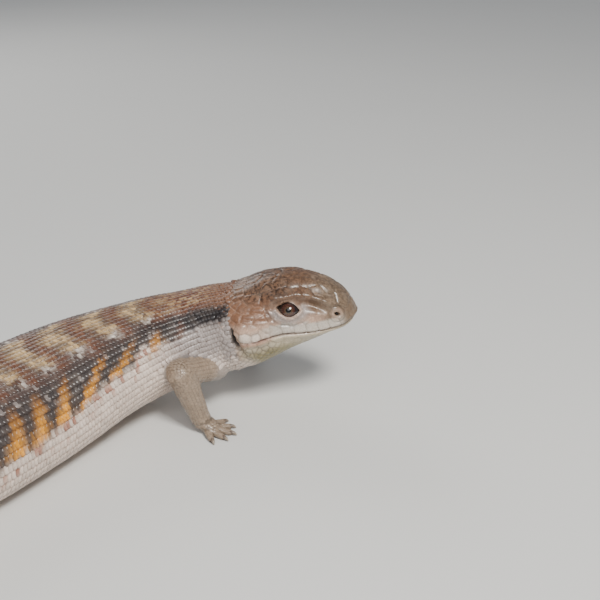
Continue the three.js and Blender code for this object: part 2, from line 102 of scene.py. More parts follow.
# Swellings: distance back, side, height, reach along, reach across, amount
SWELLINGS = [
    (27, 15.5, 16, 8, 4.5, 1.1), (44, 20, 2, 8, 8, 1.6), (17, 13, 10, 5, 4, -0.9),
    (9, 6, 15, 6, 3, 0.5), (62, 17, -14, 8, 8, 2.4), (272, 26, -4, 13, 10, 3),
]
MOUTH_CORNER = 42
MOUTH_LINE = [
    (0, -1.6), (8, -3.2), (15, -3), (22, -2.2), (30, -0.9), (36, -1.4), (MOUTH_CORNER, -2.4), (60, -3),
]

# Eyes, lids, nostrils and ears
EYE_AT, EYE_HEIGHT, EYE_RADIUS, LID_THICKNESS, EYE_PROUD = 26.4, 9.6, 5.0, 0.8, 1.0
LID_TILT, LID_HALF_LENGTH, UPPER_LID, LOWER_LID = -12.0, 4.9, 3.2, 3.0
LID_SHIFT = (-0.6, 0.9)
GAZE = (-0.7, 0.8)
NOSTRIL_AT, NOSTRIL_HEIGHT, NOSTRIL_LEAN = 6.6, 2.8, 24.0
EAR_AT, EAR_HEIGHT, EAR_LEAN, EAR_HALF_HEIGHT = 49.5, -0.5, 18.0, 5.6

# Limbs: the joints as millimetres forward, outward and up from the last
FORE = dict(
    station=60, across=0.62, up=-16, upper=(6.6, 5.9, 5.5, 5.7), lower=(5.6, 4.8, 3.9),
    palm=(6.6, 4.6, 2.7), toe_radius=1.35, claw=2.6,
    toes=((58, 3.6), (28, 5.4), (4, 6.2), (-18, 5.8), (-46, 4.2)),
)
HIND = dict(
    station=273, across=0.75, up=-4, upper=(9.4, 9, 7.8, 6.4), lower=(6.2, 5, 4.1),
    palm=(9.5, 4.8, 2.9), toe_radius=1.4, claw=3.2,
    toes=((42, 4.4), (20, 6.4), (2, 8.4), (-16, 8.8), (-44, 6.4)),
)
LIMBS = {
    "right_fore": (FORE, -1, (-12.2, 20, 6.9), (8.5, -0.6), 14),
    "left_fore": (FORE, 1, (-13, 20, 5), (14, 7), 24),
    "right_hind": (HIND, -1, (17, 22, 1), (-13, 13), 48),
    "left_hind": (HIND, 1, (11, 25, 2), (-17, 11), 40),
}
ANKLE_HEIGHT = 4.6
FLOOR_PRESS = 0.4
THINNESS = 0.92

# Skin and scales: depth of the scales, lowest points of skin and of scales, ends of head and body
COAT_DEPTH = 0.55
SKIN_FLOOR, SCALE_FLOOR = 0.3, 0.02
HEAD_END, HEAD_STEP, HEAD_SIDES = 60.0, 0.36, 300
BODY_START, BODY_STEP, BODY_SIDES = 51.0, 2.0, 72

# Camera: place and target in millimetres, width of view in degrees
CAMERA_AT = (-121.8, -358.3, 243.5)
CAMERA_TARGET = (140.4, -45.84, 53.28)
CAMERA_ANGLE = 31.3


def curve_through(rows, column=1):
    """A smooth curve through rows of (x, y...) that never overshoots."""
    xs = np.array([row[0] for row in rows], float)
    ys = np.array([row[column] for row in rows], float)
    chords = np.diff(ys) / np.diff(xs)
    slopes = np.empty_like(ys)
    slopes[0], slopes[-1] = chords[0], chords[-1]
    before, after = chords[:-1], chords[1:]
    total = np.where(before * after > 0, before + after, 1.0)
    slopes[1:-1] = np.where(before * after > 0, 2 * before * after / total, 0.0)

    def read(x):
        at = np.clip(np.asarray(x, float), xs[0], xs[-1])
        i = np.clip(np.searchsorted(xs, at, side="left") - 1, 0, len(xs) - 2)
        width = xs[i + 1] - xs[i]
        u = (at - xs[i]) / width
        rise = u * u * (3 - 2 * u)
        lead = u * (1 - u) ** 2 * width
        trail = u * u * (u - 1) * width
        return ys[i] * (1 - rise) + ys[i + 1] * rise + slopes[i] * lead + slopes[i + 1] * trail

    return read


half_width, back_height, belly_depth, square_top, square_bottom, taper = (
    curve_through(STATIONS, column) for column in range(1, 7))
lift_at = curve_through(LIFTS)
heading_at = curve_through(HEADINGS)
mouth_height = curve_through(MOUTH_LINE)


def end_rounding(at):
    """Quarter-circle rounding that closes the snout and the tip of the tail."""
    def round_off(distance, radius):
        return np.sqrt(1 - (1 - np.clip(distance / radius, 0, 1)) ** 2)
    return round_off(at, SNOUT_ROUNDING) * round_off(TOTAL_LENGTH - at, TAIL_TIP_ROUNDING)


def resting_height(at):
    """Height of the body's axis where the body rests on the ground."""
    return lift_at(at) + belly_depth(at)


pitch_ahead = curve_through([
    (0, math.radians(HEAD_PITCH)),
    (NAPE_STATION, math.radians(HEAD_PITCH)),
    (70, math.radians(NECK_PITCH)),
    (SHOULDER_STATION, math.asin(float(
        resting_height(SHOULDER_STATION) - resting_height(SHOULDER_STATION + 1)))),
])


def forward_at(at):
    """The body's direction at a station, as unit vectors."""
    at = np.asarray(at, float)
    behind = np.arcsin(np.clip(resting_height(at - 0.5) - resting_height(at + 0.5), -1, 1))
    pitch = np.where(at < SHOULDER_STATION, pitch_ahead(at), behind)
    heading = np.radians(heading_at(at))
    level = np.cos(pitch)
    return np.stack([level * np.cos(heading), level * np.sin(heading), np.sin(pitch)], -1)


def make_spine():
    """One point of the body's axis for each millimetre back from the snout."""
    count = int(TOTAL_LENGTH)
    points = np.zeros((count + 1, 3))
    points[BELLY_STATION] = (0, 0, float(resting_height(BELLY_STATION)))
    steps = forward_at(np.arange(count) + 0.5)
    for at in range(BELLY_STATION, count):
        points[at + 1] = points[at] - steps[at]
    for at in range(BELLY_STATION, 0, -1):
        points[at - 1] = points[at] + steps[at - 1]
    return points


SPINE = make_spine()


def spine_at(at):
    """Origin, forward, left and up of the body at stations."""
    at = np.asarray(at, float)
    i = np.clip(np.floor(at).astype(int), 0, len(SPINE) - 2)
    share = (at - i)[..., None]
    origin = SPINE[i] * (1 - share) + SPINE[i + 1] * share
    forward = forward_at(at)
    heading = np.radians(heading_at(at))
    left = np.stack([-np.sin(heading), np.cos(heading), np.zeros_like(heading)], -1)
    return origin, forward, left, np.cross(forward, left)


def signed_power(value, power):
    """Power that keeps the sign of its base."""
    return np.sign(value) * np.abs(value) ** power


def section_offset(at, angle, grow=0.0):
    """Offsets to the left and up from the axis, for angles measured from the top of the back."""
    at, angle = np.broadcast_arrays(np.asarray(at, float), np.asarray(angle, float))
    sine, cosine = np.sin(angle), np.cos(angle)
    power = 2 / np.where(cosine > 0, square_top(at), square_bottom(at))
    level = signed_power(cosine, power)
    height = np.where(level > 0, back_height(at), belly_depth(at))
    narrowing = 1 - taper(at) * np.maximum(level, 0) ** 1.5
    closing = end_rounding(at)
    side = signed_power(sine, power) * half_width(at) * narrowing * closing
    up = level * height * closing
    radius = np.maximum(np.hypot(side, up), 1e-6)
    swelling = np.zeros_like(radius) + grow
    for form_at, form_side, form_up, along, across, amount in SWELLINGS:
        away = ((at - form_at) / along) ** 2
        away = away + ((np.abs(side) - form_side) / across) ** 2 + ((up - form_up) / across) ** 2
        swelling = swelling + amount * np.exp(-away)
    return side * (1 + swelling / radius), up * (1 + swelling / radius)


def skin_point(at, angle, grow=0.0):
    """Points of the skin, from distance back from the snout and angle from the top of the back."""
    side, rise = section_offset(at, angle, grow)
    origin, _, left, up = spine_at(np.broadcast_to(np.asarray(at, float), side.shape))
    return origin + left * side[..., None] + up * rise[..., None]


def angle_where(at, wanted, measure):
    """Angle from the top at which a measure of the section falls to a wanted value."""
    at, wanted = np.broadcast_arrays(np.asarray(at, float), np.asarray(wanted, float))
    low, high = np.zeros_like(wanted), np.full_like(wanted, math.pi)
    for _ in range(26):
        middle = (low + high) / 2
        above = measure(at, middle) > wanted
        low, high = np.where(above, middle, low), np.where(above, high, middle)
    return (low + high) / 2


def angle_at_height(at, height):
    """Angle at which the skin reaches a height above the axis."""
    return angle_where(at, height, lambda a, turn: section_offset(a, turn)[1])


def turned(x, y, degrees):
    """Offsets turned anticlockwise by an angle."""
    angle = math.radians(degrees)
    return x * math.cos(angle) - y * math.sin(angle), x * math.sin(angle) + y * math.cos(angle)


def unit(vectors):
    """Vectors brought to length one."""
    return vectors / np.maximum(np.linalg.norm(vectors, axis=-1, keepdims=True), 1e-9)


def even_angles(at, count, samples=240):
    """Angles that divide half of each section into equal lengths of skin, from back to belly."""
    turn = np.linspace(0, math.pi, samples)
    side, up = section_offset(np.asarray(at, float)[:, None], turn[None, :])
    steps = np.hypot(np.diff(side, axis=1), np.diff(up, axis=1))
    lengths = np.concatenate([np.zeros((len(side), 1)), np.cumsum(steps, axis=1)], axis=1)
    shares = np.linspace(0, 1, count + 1)
    rows = [np.interp(shares * row[-1], row, turn) for row in lengths]
    return np.array(rows), lengths[:, -1]


def skin_frame(at, angle, grow=0.0):
    """Point, outward normal and backward direction of the skin."""
    point = skin_point(at, angle, grow)
    back = unit(skin_point(at + 0.4, angle, grow) - skin_point(at - 0.4, angle, grow))
    round_ = skin_point(at, angle + 0.02, grow) - skin_point(at, angle - 0.02, grow)
    normal = unit(np.cross(round_, back))
    outward = point - spine_at(at)[0]
    flip = np.sign((normal * outward).sum(-1, keepdims=True))
    return point, normal * flip, back


def head_spot(side, at, height, grow=0.0):
    """A point on the side of the head with its outward, forward and upward directions."""
    at = np.array([float(at)])
    angle = side * angle_at_height(at, height)
    point, normal, back = (value[0] for value in skin_frame(at, angle, grow))
    forward = unit(-back - normal * (-back @ normal))
    upward = np.cross(normal, forward) * (1 if side < 0 else -1)
    return point, normal, forward, upward


# Markings: named colours, as they look under even light
COLOURS = {
    "dark": (0.064, 0.054, 0.052),
    "rust": (0.168, 0.066, 0.034),
    "cream": (0.620, 0.430, 0.210),
    "white": (0.860, 0.790, 0.700),
    "amber": (0.760, 0.330, 0.030),
    "belly": (0.780, 0.655, 0.565),
    "pink": (0.380, 0.145, 0.085),
    "black": (0.020, 0.016, 0.017),
    "collar": (0.370, 0.325, 0.305),
    "crown": (0.150, 0.082, 0.048),
    "temple": (0.215, 0.108, 0.062),
    "cheek": (0.540, 0.365, 0.270),
    "lip": (0.500, 0.450, 0.385),
    "snout": (0.185, 0.132, 0.088),
    "jaw": (0.500, 0.430, 0.310),
    "olive": (0.260, 0.220, 0.080),
    "limb": (0.310, 0.235, 0.170),
}
# Bars of the flank as station, slant, upper and lower angle and strength; blotches and tail bands
FLANK_BARS = [
    (77, 0.1, 42, 64, 0.6), (94, 0.22, 42, 67, 0.8), (113, 0.8, 42, 67, 0.75), (133, 0.66, 40, 75, 1.0),
    (151.5, 0.34, 40, 77, 1.0), (168, 0.21, 42, 82, 1.0), (181, 0.18, 45, 82, 1.0),
] + [(station, 0.18, 40, 84, 0.95) for station in (197, 213, 229, 245, 260, 275, 289)]
BLOTCHES = (79, 96, 114, 132, 150, 168, 186, 203, 220, 237, 254, 270, 286)
TAIL_BANDS = (310, 327, 344, 361, 377, 393, 409, 424, 439, 453, 466)
# Angle at which the pale belly starts, and the middle and reach of the dark band, by station
pale_edge = curve_through([
    (60, 100), (78, 74), (90, 60), (102, 54), (112, 66), (130, 67), (150, 74), (170, 79), (190, 84),
    (300, 90), (TOTAL_LENGTH, 100),
])
band_middle = curve_through([
    (50, 56), (62, 53), (70, 45), (80, 39), (92, 36), (130, 38), (TOTAL_LENGTH, 40),
])
band_reach = curve_through([(50, 11), (62, 11), (70, 8), (92, 8), (130, 10), (TOTAL_LENGTH, 10)])


def bump(x, centre, reach):
    """A soft hill of height one."""
    return np.exp(-((x - centre) / reach) ** 2)


def ramp(x, start, end):
    """A soft step from nought at start to one at end."""
    u = np.clip((x - start) / (end - start), 0, 1)
    return u * u * (3 - 2 * u)


def noise_at(points, scale):
    """Soft noise at points."""
    return np.array([soft_noise(Vector(point) * scale) for point in points])


def nearest_bar(at, centres, reach):
    """How far inside the nearest of several bars, nought to one."""
    return np.max([bump(at, centre, reach) for centre in centres], axis=0)


def lay(colour, name, amount):
    """A named colour laid over another by an amount."""
    amount = np.clip(amount, 0, 1)[:, None]
    return colour * (1 - amount) + np.array(COLOURS[name]) * amount


def flank_bars(along, across):
    """How strongly a flank bar shows, and how far down the bar a point lies."""
    amount, low = np.zeros(len(along)), np.zeros(len(along))
    for station, slant, top, bottom, strength in FLANK_BARS:
        down = ramp(across, top, bottom)
        shift = along - slant * (across - (top + bottom) / 2)
        window = ramp(across, top - 6, top + 8) * (1 - ramp(across, bottom - 4, bottom + 5))
        here = np.minimum(1.15 * bump(shift, station, 2.4 + 1.5 * down) * window, 1) * strength
        low = np.where(here > amount, down, low)
        amount = np.maximum(amount, here)
    return amount, low


def body_colour(at, turn, chance, limb=0.0):
    """Colour of body and tail at stations and angles; chance is a random number for each scale."""
    degrees = np.abs(np.degrees(turn))
    other = np.mod(chance * 7.3, 1)
    third = np.mod(chance * 3.7, 1)
    along = at + 2.6 * (chance - 0.5)
    across = degrees + 6.0 * (other - 0.5)
    trunk = ramp(at, 70, 84) * (1 - ramp(at, 296, 306))
    tail = ramp(at, 296, 306)
    colour = np.tile(np.array(COLOURS["dark"]), (len(at), 1))
    colour = lay(colour, "rust", 0.32 * (1 - ramp(across, 26, 44)) * (0.5 + third))
    between = nearest_bar(along, [b + 9 for b in BLOTCHES], 3.9)
    colour = lay(colour, "rust", trunk * between * (1 - ramp(across, 27, 40)) * (0.6 + 0.5 * other))
    clumps = np.maximum(bump(across, 1, 7), bump(across, 16, 5)) * (1 - ramp(across, 20, 27))
    blotch = np.minimum(1.5 * nearest_bar(along + 0.25 * across - 2, BLOTCHES, 4.2) * clumps, 1)
    colour = lay(colour, "cream", trunk * blotch * (0.45 + 0.75 * third))
    dash = nearest_bar(along + 2, BLOTCHES, 3.4) * bump(across, 25, 3.6)
    colour = lay(colour, "white", trunk * 0.8 * dash * ramp(chance, 0.35, 0.6))
    flecks = ramp(np.mod(chance * 11.7, 1), 0.88, 0.96) * bump(across, 42, 13)
    colour = lay(colour, "collar", trunk * 0.7 * flecks)
    amount, low = flank_bars(along, across)
    show = ramp(at, 70, 80) * (1 - tail)
    colour = lay(colour, "rust", show * amount * 0.7 * (1 - low))
    colour = lay(colour, "amber", show * amount * (0.25 + 0.95 * low) * ramp(at, 80, 90))
    reach = pale_edge(at)
    pale = ramp(across, reach - 5, reach + 5) * ramp(at, 66, 76) * (1 - tail) * (1 - 0.85 * show * amount)
    colour = lay(colour, "belly", pale)
    rows = ramp(np.mod(chance * 5.1, 1), 0.7, 0.8) * bump(across, reach + 4, 10)
    colour = lay(colour, "pink", pale * 0.9 * rows)
    # Neck: reddish brown above with pale streaks, a dark band behind the ear, grey below
    neck = 1 - ramp(at, 76, 92)
    colour = lay(colour, "rust", neck * 0.85 * (1 - ramp(across, 26, 38)))
    colour = lay(colour, "temple", 0.85 * (1 - ramp(at, 56, 68)) * (1 - ramp(across, 36, 46)))
    streak = (bump(across, 7, 3.5) + bump(across, 20, 3.5)) * ramp(at, 56, 66) * ramp(third, 0.2, 0.6)
    colour = lay(colour, "cream", neck * 0.6 * streak)
    colour = lay(colour, "collar", ramp(across, 58, 66) * (1 - ramp(at, 78, 104)))
    colour = lay(colour, "belly", neck * 0.7 * ramp(across, 96, 122))
    colour = lay(colour, "rust", neck * show * 0.7 * amount)
    band = bump(across, band_middle(at), band_reach(at)) * ramp(at, 52, 55)
    depth = 1.3 - 0.6 * ramp(at, 62, 72) - 0.7 * ramp(at, 88, 112)
    colour = lay(colour, "black", band * depth * (1 - 0.85 * amount))
    # Tail: dark and cream bands that fade below
    ring = nearest_bar(along, TAIL_BANDS, 3.8)
    colour = lay(colour, "cream", tail * 1.1 * ring * (0.6 + 0.5 * third))
    colour = lay(colour, "amber", tail * 0.45 * ring * bump(across, 88, 26))
    colour = lay(colour, "belly", tail * 0.8 * ramp(across, 120, 150))
    return lay(colour, "limb", np.broadcast_to(limb, at.shape))


def head_colour(at, up, turn, chance):
    """Colour of the head by distance back and height above its axis."""
    height = up + 1.6 * (chance - 0.5)
    mouth = mouth_height(at)
    colour = np.tile(np.array(COLOURS["crown"]), (len(at), 1))
    colour = lay(colour, "snout", (1 - ramp(at, 9, 22)) * 0.9)
    temple = ramp(at, 30, 37) * (1 - ramp(height, 12, 17)) * ramp(height, 2.5, 7)
    colour = lay(colour, "temple", temple)
    cheek = (1 - ramp(height, 3.0, 7.0)) * ramp(at, 8, 20)
    colour = lay(colour, "cheek", cheek)
    pale = ramp(at, 33, 38) * (1 - ramp(at, 50, 53)) * (1 - ramp(height, 2, 5)) * ramp(height, -7, -4)
    colour = lay(colour, "white", 0.55 * pale * ramp(chance, 0.45, 0.6))
    lips = (1 - ramp(height, mouth + 4.2, mouth + 5.6)) * (1 - 0.7 * ramp(at, 30, 42))
    colour = lay(colour, "lip", lips * ramp(at, 2.5, 8))
    below = 1 - ramp(up, mouth - 0.7, mouth - 0.2)
    colour = lay(colour, "jaw", below * (1 - ramp(at, 46, 52)))
    colour = lay(colour, "olive", 0.9 * (1 - ramp(height, mouth - 8, mouth - 3.5)) * (1 - ramp(at, 40, 52)))
    collar = ramp(at, 49.5, 51.5) * (1 - ramp(height, 3, 8))
    colour = lay(colour, "collar", collar)
    colour = lay(colour, "belly", ramp(at, 40, 50) * (1 - ramp(height, -15, -9)))
    patch = bump(np.degrees(np.abs(turn)), 55, 12) * ramp(at, 52, 55)
    colour = lay(colour, "black", patch)
    nape = ramp(at, 50, 57) * ramp(height, 10, 12)
    colour = lay(colour, "rust", 0.8 * nape)
    return colour


# Head shields, as distance back with height above the axis at the sides, or across on the crown
CROWN_SHIELDS = [
    ((6.8, 0),), ((11.6, 3.6), (11.0, 5.2)), ((17.2, 0), (19.8, 0), (22.0, 0)),
    ((16.6, 7.4), (18.4, 8.2)), ((22.4, 8.4), (23.8, 9.2)), ((28.4, 9.2), (30.0, 9.4)),
    ((27.0, 3.0), (28.0, 4.2)), ((32.6, 0), (34.2, 0)), ((34.0, 5.0), (36.0, 6.6), (37.6, 8.2)),
    ((40.6, 2.4), (41.2, 4.0)), ((34.6, 11.4),), ((41.8, 9.4),),
]
SIDE_SHIELDS = [
    ((1.0, 1.4),), ((5.4, 2.6), (7.6, 3.4)), ((4.2, 7.6),), ((9.6, 8.4),), ((11.2, 4.6), (12.6, 5.0)),
    ((16.6, 6.0), (18.2, 6.8)), ((15.2, 10.4),), ((19.6, 3.9),), ((23.4, 4.1),), ((27.4, 3.9),),
    ((31.6, 4.6),), ((34.0, 8.2),), ((34.2, 12.6), (35.6, 13.0)),
    ((39.6, 13.6), (41.4, 13.8)), ((38.4, 10.4), (40.2, 10.6)), ((43.8, 11.6), (45.6, 11.8)),
    ((37.6, 6.6), (39.2, 6.6)), ((42.6, 8.0), (44.4, 8.0)), ((47.4, 8.8), (48.4, 8.8)),
    ((36.6, 2.6),), ((41.0, 3.6), (42.4, 3.6)), ((45.8, 4.6), (47.2, 4.6)),
    ((40.4, -0.2),), ((44.6, 0.4), (45.8, 0.4)), ((46.4, -3.2),),
]
UPPER_LABIALS = (4.0, 8.4, 12.8, 17.4, 22.2, 27.2, 32.2, 37.0)
LOWER_LABIALS = (4.4, 9.6, 15.2, 21.0, 26.8, 32.6, 38.2, 43.4)
BROW_SHIELDS = (15.0, 18.6, 22.4, 26.4, 30.4)
SMALL_SCALE, SMALL_TILT, BACK_TILT = 3.3, 0.6, 0.35
TEMPLE_FOLDS = (12.2, 9.6, 6.8)
NOSTRIL_SCALE = 3.5
# Rings of small scales round the eye: distance from the lids, count, first place; blend of the lids
LID_RINGS = ((1.0, 22, 0.0), (2.5, 20, 0.5))
LID_BLEND = 0.6
brow_height = curve_through([
    (4, 4.5), (9, 7.2), (14, 10.2), (19, 12.6), (25, 13.9), (32, 13.9), (37, 13),
])


def head_seeds():
    """Middles of the head shields as station, angle, shield number and tilt."""
    rows = []
    shields = 0

    def add(side, places, tilt=0.0):
        """Adds the middles of one shield, given as stations and angles."""
        nonlocal shields
        rows.extend((at, side * float(turn), shields, tilt) for at, turn in places)
        shields += 1

    for shield in CROWN_SHIELDS:
        widths = [max(float(half_width(at)) * 1.15, 1) for at, _ in shield]
        places = [(at, min(across / width, 1.2)) for (at, across), width in zip(shield, widths)]
        for side in (1, -1) if any(across > 1 for _, across in shield) else (1,):
            add(side, places)
    for side in (1, -1):
        for shield in SIDE_SHIELDS:
            tilt = BACK_TILT if shield[-1][0] > 36 else 0.0
            add(side, [(at, angle_at_height(at, height)) for at, height in shield], tilt)
        for at in UPPER_LABIALS:
            lip = mouth_height(at)
            add(side, [(at, angle_at_height(at, lip + 1.5)), (at + 0.3, angle_at_height(at, lip + 3.4))])
        for at in LOWER_LABIALS:
            add(side, [(at, angle_at_height(at, mouth_height(at) - 1.7))])
        for at in BROW_SHIELDS:
            turn = angle_at_height(at, 14.2)
            add(side, [(at - 1.2, turn), (at + 0.6, turn)])
    named = np.array(rows)
    places = skin_point(named[:, 0], named[:, 1])
    shares = np.linspace(0, 1, 201)
    for column, at in enumerate(np.arange(3.0, HEAD_END + 3, SMALL_SCALE / 2)):
        turns, length = even_angles(np.array([at]), 200)
        count = max(int(round(length[0] / SMALL_SCALE)), 2)
        for row in range(-count, count):
            share = (row + 0.5 + 0.5 * (column % 2)) / count
            turn = math.copysign(float(np.interp(abs(share), shares, turns[0])), share)
            here = skin_point(np.array([at]), np.array([turn]))[0]
            height = section_offset(np.array([at]), np.array([turn]))[1][0]
            crown = height > 10 and at < 43
            flank = height > mouth_height(at) - 3.6 and at < 48
            taken = np.min(np.linalg.norm(places - here, axis=1)) < SMALL_SCALE * 0.8
            if not (crown or flank or taken):
                add(1, [(at, turn)], SMALL_TILT)
    return np.array(rows)


def head_rings():
    """Stations of the head's rings, closer where the snout rounds off."""
    lean = np.linspace(0.05, math.pi / 2, 34)
    rounded = SNOUT_ROUNDING * (1 - np.cos(lean))
    count = int((HEAD_END - SNOUT_ROUNDING) / HEAD_STEP)
    return np.concatenate([rounded, np.linspace(SNOUT_ROUNDING, HEAD_END, count + 1)[1:]])


def lids_distance(x, y):
    """Distance outside the opening of the lids, in the eye's own directions; negative inside."""
    across, rise = turned(x - LID_SHIFT[0], y - LID_SHIFT[1], -LID_TILT)
    height = np.where(rise > 0, UPPER_LID, LOWER_LID)
    level = np.abs(rise) / height + (across / LID_HALF_LENGTH) ** 2
    slope = np.sqrt((2 * across / LID_HALF_LENGTH ** 2) ** 2 + 1 / height ** 2)
    return (level - 1) / slope


def lid_outline(grow=0.0, count=72):
    """Points along the edge of the lids, in the eye's own directions."""
    turn = np.linspace(0, 2 * math.pi, count, endpoint=False)
    along, above = np.cos(turn), np.sign(np.sin(turn) + 1e-9)
    height = np.where(above > 0, UPPER_LID, LOWER_LID)
    rise = above * (height + grow) * (1 - along ** 2)
    x, y = turned(along * (LID_HALF_LENGTH + grow), rise, LID_TILT)
    return x + LID_SHIFT[0], y + LID_SHIFT[1]


def eye_frame(side):
    """Middle of an eyeball, and the way it looks, forward and up."""
    sunk = EYE_PROUD - EYE_RADIUS - LID_THICKNESS
    return head_spot(side, EYE_AT, EYE_HEIGHT, sunk)


def lid_seeds(side):
    """Middles of the small scales in rings round an eye."""
    centre, facing, forward, upward = eye_frame(side)
    points = []
    for grow, count, start in LID_RINGS:
        xs, ys = lid_outline(grow, 360)
        steps = np.hypot(np.diff(xs, append=xs[0]), np.diff(ys, append=ys[0]))
        length = np.concatenate([[0], np.cumsum(steps)])[:-1]
        wanted = (np.arange(count) + start) / count * (length[-1] + steps[-1])
        for x, y in zip(np.interp(wanted, length, xs), np.interp(wanted, length, ys)):
            height = math.sqrt(max((EYE_RADIUS + LID_THICKNESS) ** 2 - x * x - y * y, 4.0))
            points.append(centre + forward * x + upward * y + facing * height)
    return np.array(points)


def head_grid():
    """Rings of skin points with the way they face, their stations, heights and angles."""
    at = head_rings()
    half, _ = even_angles(at, HEAD_SIDES // 2)
    turn = np.concatenate([half, -half[:, -2:0:-1]], axis=1)
    at = np.repeat(at[:, None], HEAD_SIDES, axis=1)
    points = skin_point(at, turn, -COAT_DEPTH)
    round_ = np.roll(points, -1, 1) - np.roll(points, 1, 1)
    normals = unit(np.cross(round_, np.gradient(points, axis=0)))
    outward = points - spine_at(at)[0]
    normals *= np.sign((normals * outward).sum(-1, keepdims=True).mean())
    grid = SimpleNamespace(
        points=points.reshape(-1, 3), facing=normals.reshape(-1, 3),
        at=at.ravel(), up=section_offset(at, turn)[1].ravel(), turn=turn.ravel())
    grid.brow = brow_height(grid.at)
    grid.above_mouth = grid.up - mouth_height(grid.at)
    grid.mouth = 1 - ramp(grid.at, MOUTH_CORNER - 3, MOUTH_CORNER + 4)
    grid.crown = ramp(grid.up, grid.brow - 1.5, grid.brow) * (1 - ramp(grid.at, 38, 46))
    return grid


def fold_lift(grid):
    """How far brow, temple folds, lips and the folds behind the jaw stand out."""
    at, up, above_mouth = grid.at, grid.up, grid.above_mouth
    lift = 1.45 * bump(up, grid.brow + 0.4, 1.8) * ramp(at, 5, 12) * (1 - ramp(at, 31, 37))
    lift -= 1.3 * bump(up, grid.brow - 2.8, 1.7) * ramp(at, 8, 14) * (1 - ramp(at, 29, 34))
    behind_eye = ramp(at, 33, 36) * (1 - ramp(at, 44, 48))
    for height in TEMPLE_FOLDS:
        lift -= 0.42 * bump(up - 0.18 * (at - 38), height, 0.55) * behind_eye
    lift += 0.42 * bump(above_mouth, 1.3, 0.9) * grid.mouth
    lift += 0.48 * bump(above_mouth, -1.3, 0.9) * grid.mouth
    lift += 0.9 * bump(at, 46.2, 2.4) * bump(up, 1.5, 6.5)
    lift -= 0.9 * bump(at, 51.2 + 0.36 * (up - 2), 1.2) * bump(up, -3, 11)
    lift += 0.6 * bump(at, 55, 2.2) * bump(up, -4, 9)
    return lift


def shield_lift(grid):
    """Domed shields parted by fine grooves; notes each point's border, chance and calm."""
    points = grid.points
    seeds = head_seeds()
    groups = seeds[:, 2].astype(int)
    lids = np.vstack([lid_seeds(side) for side in (1, -1)])
    tilts = np.zeros(groups.max() + 1 + len(lids))
    tilts[groups] = seeds[:, 3]
    places = np.vstack([skin_point(seeds[:, 0], seeds[:, 1], -COAT_DEPTH), lids])
    groups = np.concatenate([groups, groups.max() + 1 + np.arange(len(lids))])
    nearest, next_nearest = np.full((2, len(points)), 1e9)
    cell = np.zeros(len(points), int)
    offset = np.zeros(len(points))
    waver = 0.22 * noise_at(points, 0.55)
    backward = -spine_at(grid.at)[1]
    for number in np.unique(groups):
        mine = places[groups == number]
        gaps = np.min(np.linalg.norm(points[:, None, :] - mine[None], axis=2), axis=1)
        gaps = gaps + waver * math.sin(number * 2.4)
        first = gaps < nearest
        next_nearest = np.where(first, nearest, np.minimum(next_nearest, gaps))
        nearest = np.where(first, gaps, nearest)
        cell = np.where(first, number, cell)
        offset = np.where(first, ((points - mine.mean(0)) * backward).sum(1), offset)
    border = (next_nearest - nearest) / 2
    # Jaw, lips, crown and the side of the snout are smoother than the temples and the throat
    above_mouth = grid.above_mouth
    jaw = (1 - ramp(above_mouth, -1.0, 0.2)) * (1 - 0.8 * ramp(grid.at, 28, 38))
    lips = ramp(above_mouth, -0.2, 0.4) * (1 - ramp(above_mouth, 4.4, 5.6)) * (1 - ramp(grid.at, 36, 42))
    snout = (1 - ramp(grid.at, 26, 32)) * ramp(above_mouth, 4.4, 5.6) * (1 - grid.crown)
    calm = 1 - ramp(grid.at, HEAD_END - 3, HEAD_END)
    calm = calm * (1 - 0.7 * jaw) * (1 - 0.35 * lips) * (1 - 0.2 * grid.crown) * (1 - 0.65 * snout)
    chance = np.mod(np.sin(cell * 12.9898) * 43758.5453, 1)
    grid.border, grid.calm = border, calm
    grid.chance = 0.5 + (chance - 0.5) * (0.25 + 0.75 * calm)
    height = 0.34 * (1 - np.exp(-border / 0.6)) - 0.15 * bump(border, 0, 0.2)
    return (height + tilts[cell] * 0.16 * np.clip(offset / 2, -1, 1.2)) * calm


def head_openings(grid):
    """Lift of the rims round the nostrils, and how deep nostrils and ears go."""
    rims, hollow = np.zeros((2, len(grid.points)))
    for side in (1, -1):
        near = np.sign(grid.turn + 1e-9) == side
        spot, out, forward, upward = head_spot(side, NOSTRIL_AT, NOSTRIL_HEIGHT)
        away = grid.points - spot
        x, y = away @ forward, away @ upward
        along, across = turned(x, y, NOSTRIL_LEAN)
        ring = np.hypot(along / 1.25, across / 0.8)
        close = near & (np.abs(away @ out) < 4)
        scale = bump(np.hypot(x, y), NOSTRIL_SCALE, 0.3)
        rims += np.where(close, 0.35 * bump(ring, 1.8, 0.7) - 0.3 * scale, 0)
        hollow = np.where(close, 2.2 * (1 - ramp(ring, 0.7, 1.15)), hollow)
        spot, out, forward, upward = head_spot(side, EAR_AT, EAR_HEIGHT)
        away = grid.points - spot
        x, y = away @ forward, away @ upward
        ahead, rise = turned(x, y, -EAR_LEAN)
        lobes = 0.45 * np.cos(rise * 2.2)
        window = np.clip(1 - (rise / EAR_HALF_HEIGHT) ** 2, 0, 1) ** 0.5
        dip = ramp(-ahead, -0.7 + lobes, 0.3 + lobes) * (1 - ramp(-ahead, 0.9, 4.4))
        hollow = np.maximum(hollow, np.where(near, 2.6 * dip * window * (np.hypot(x, y) < 9), 0))
    return rims, hollow


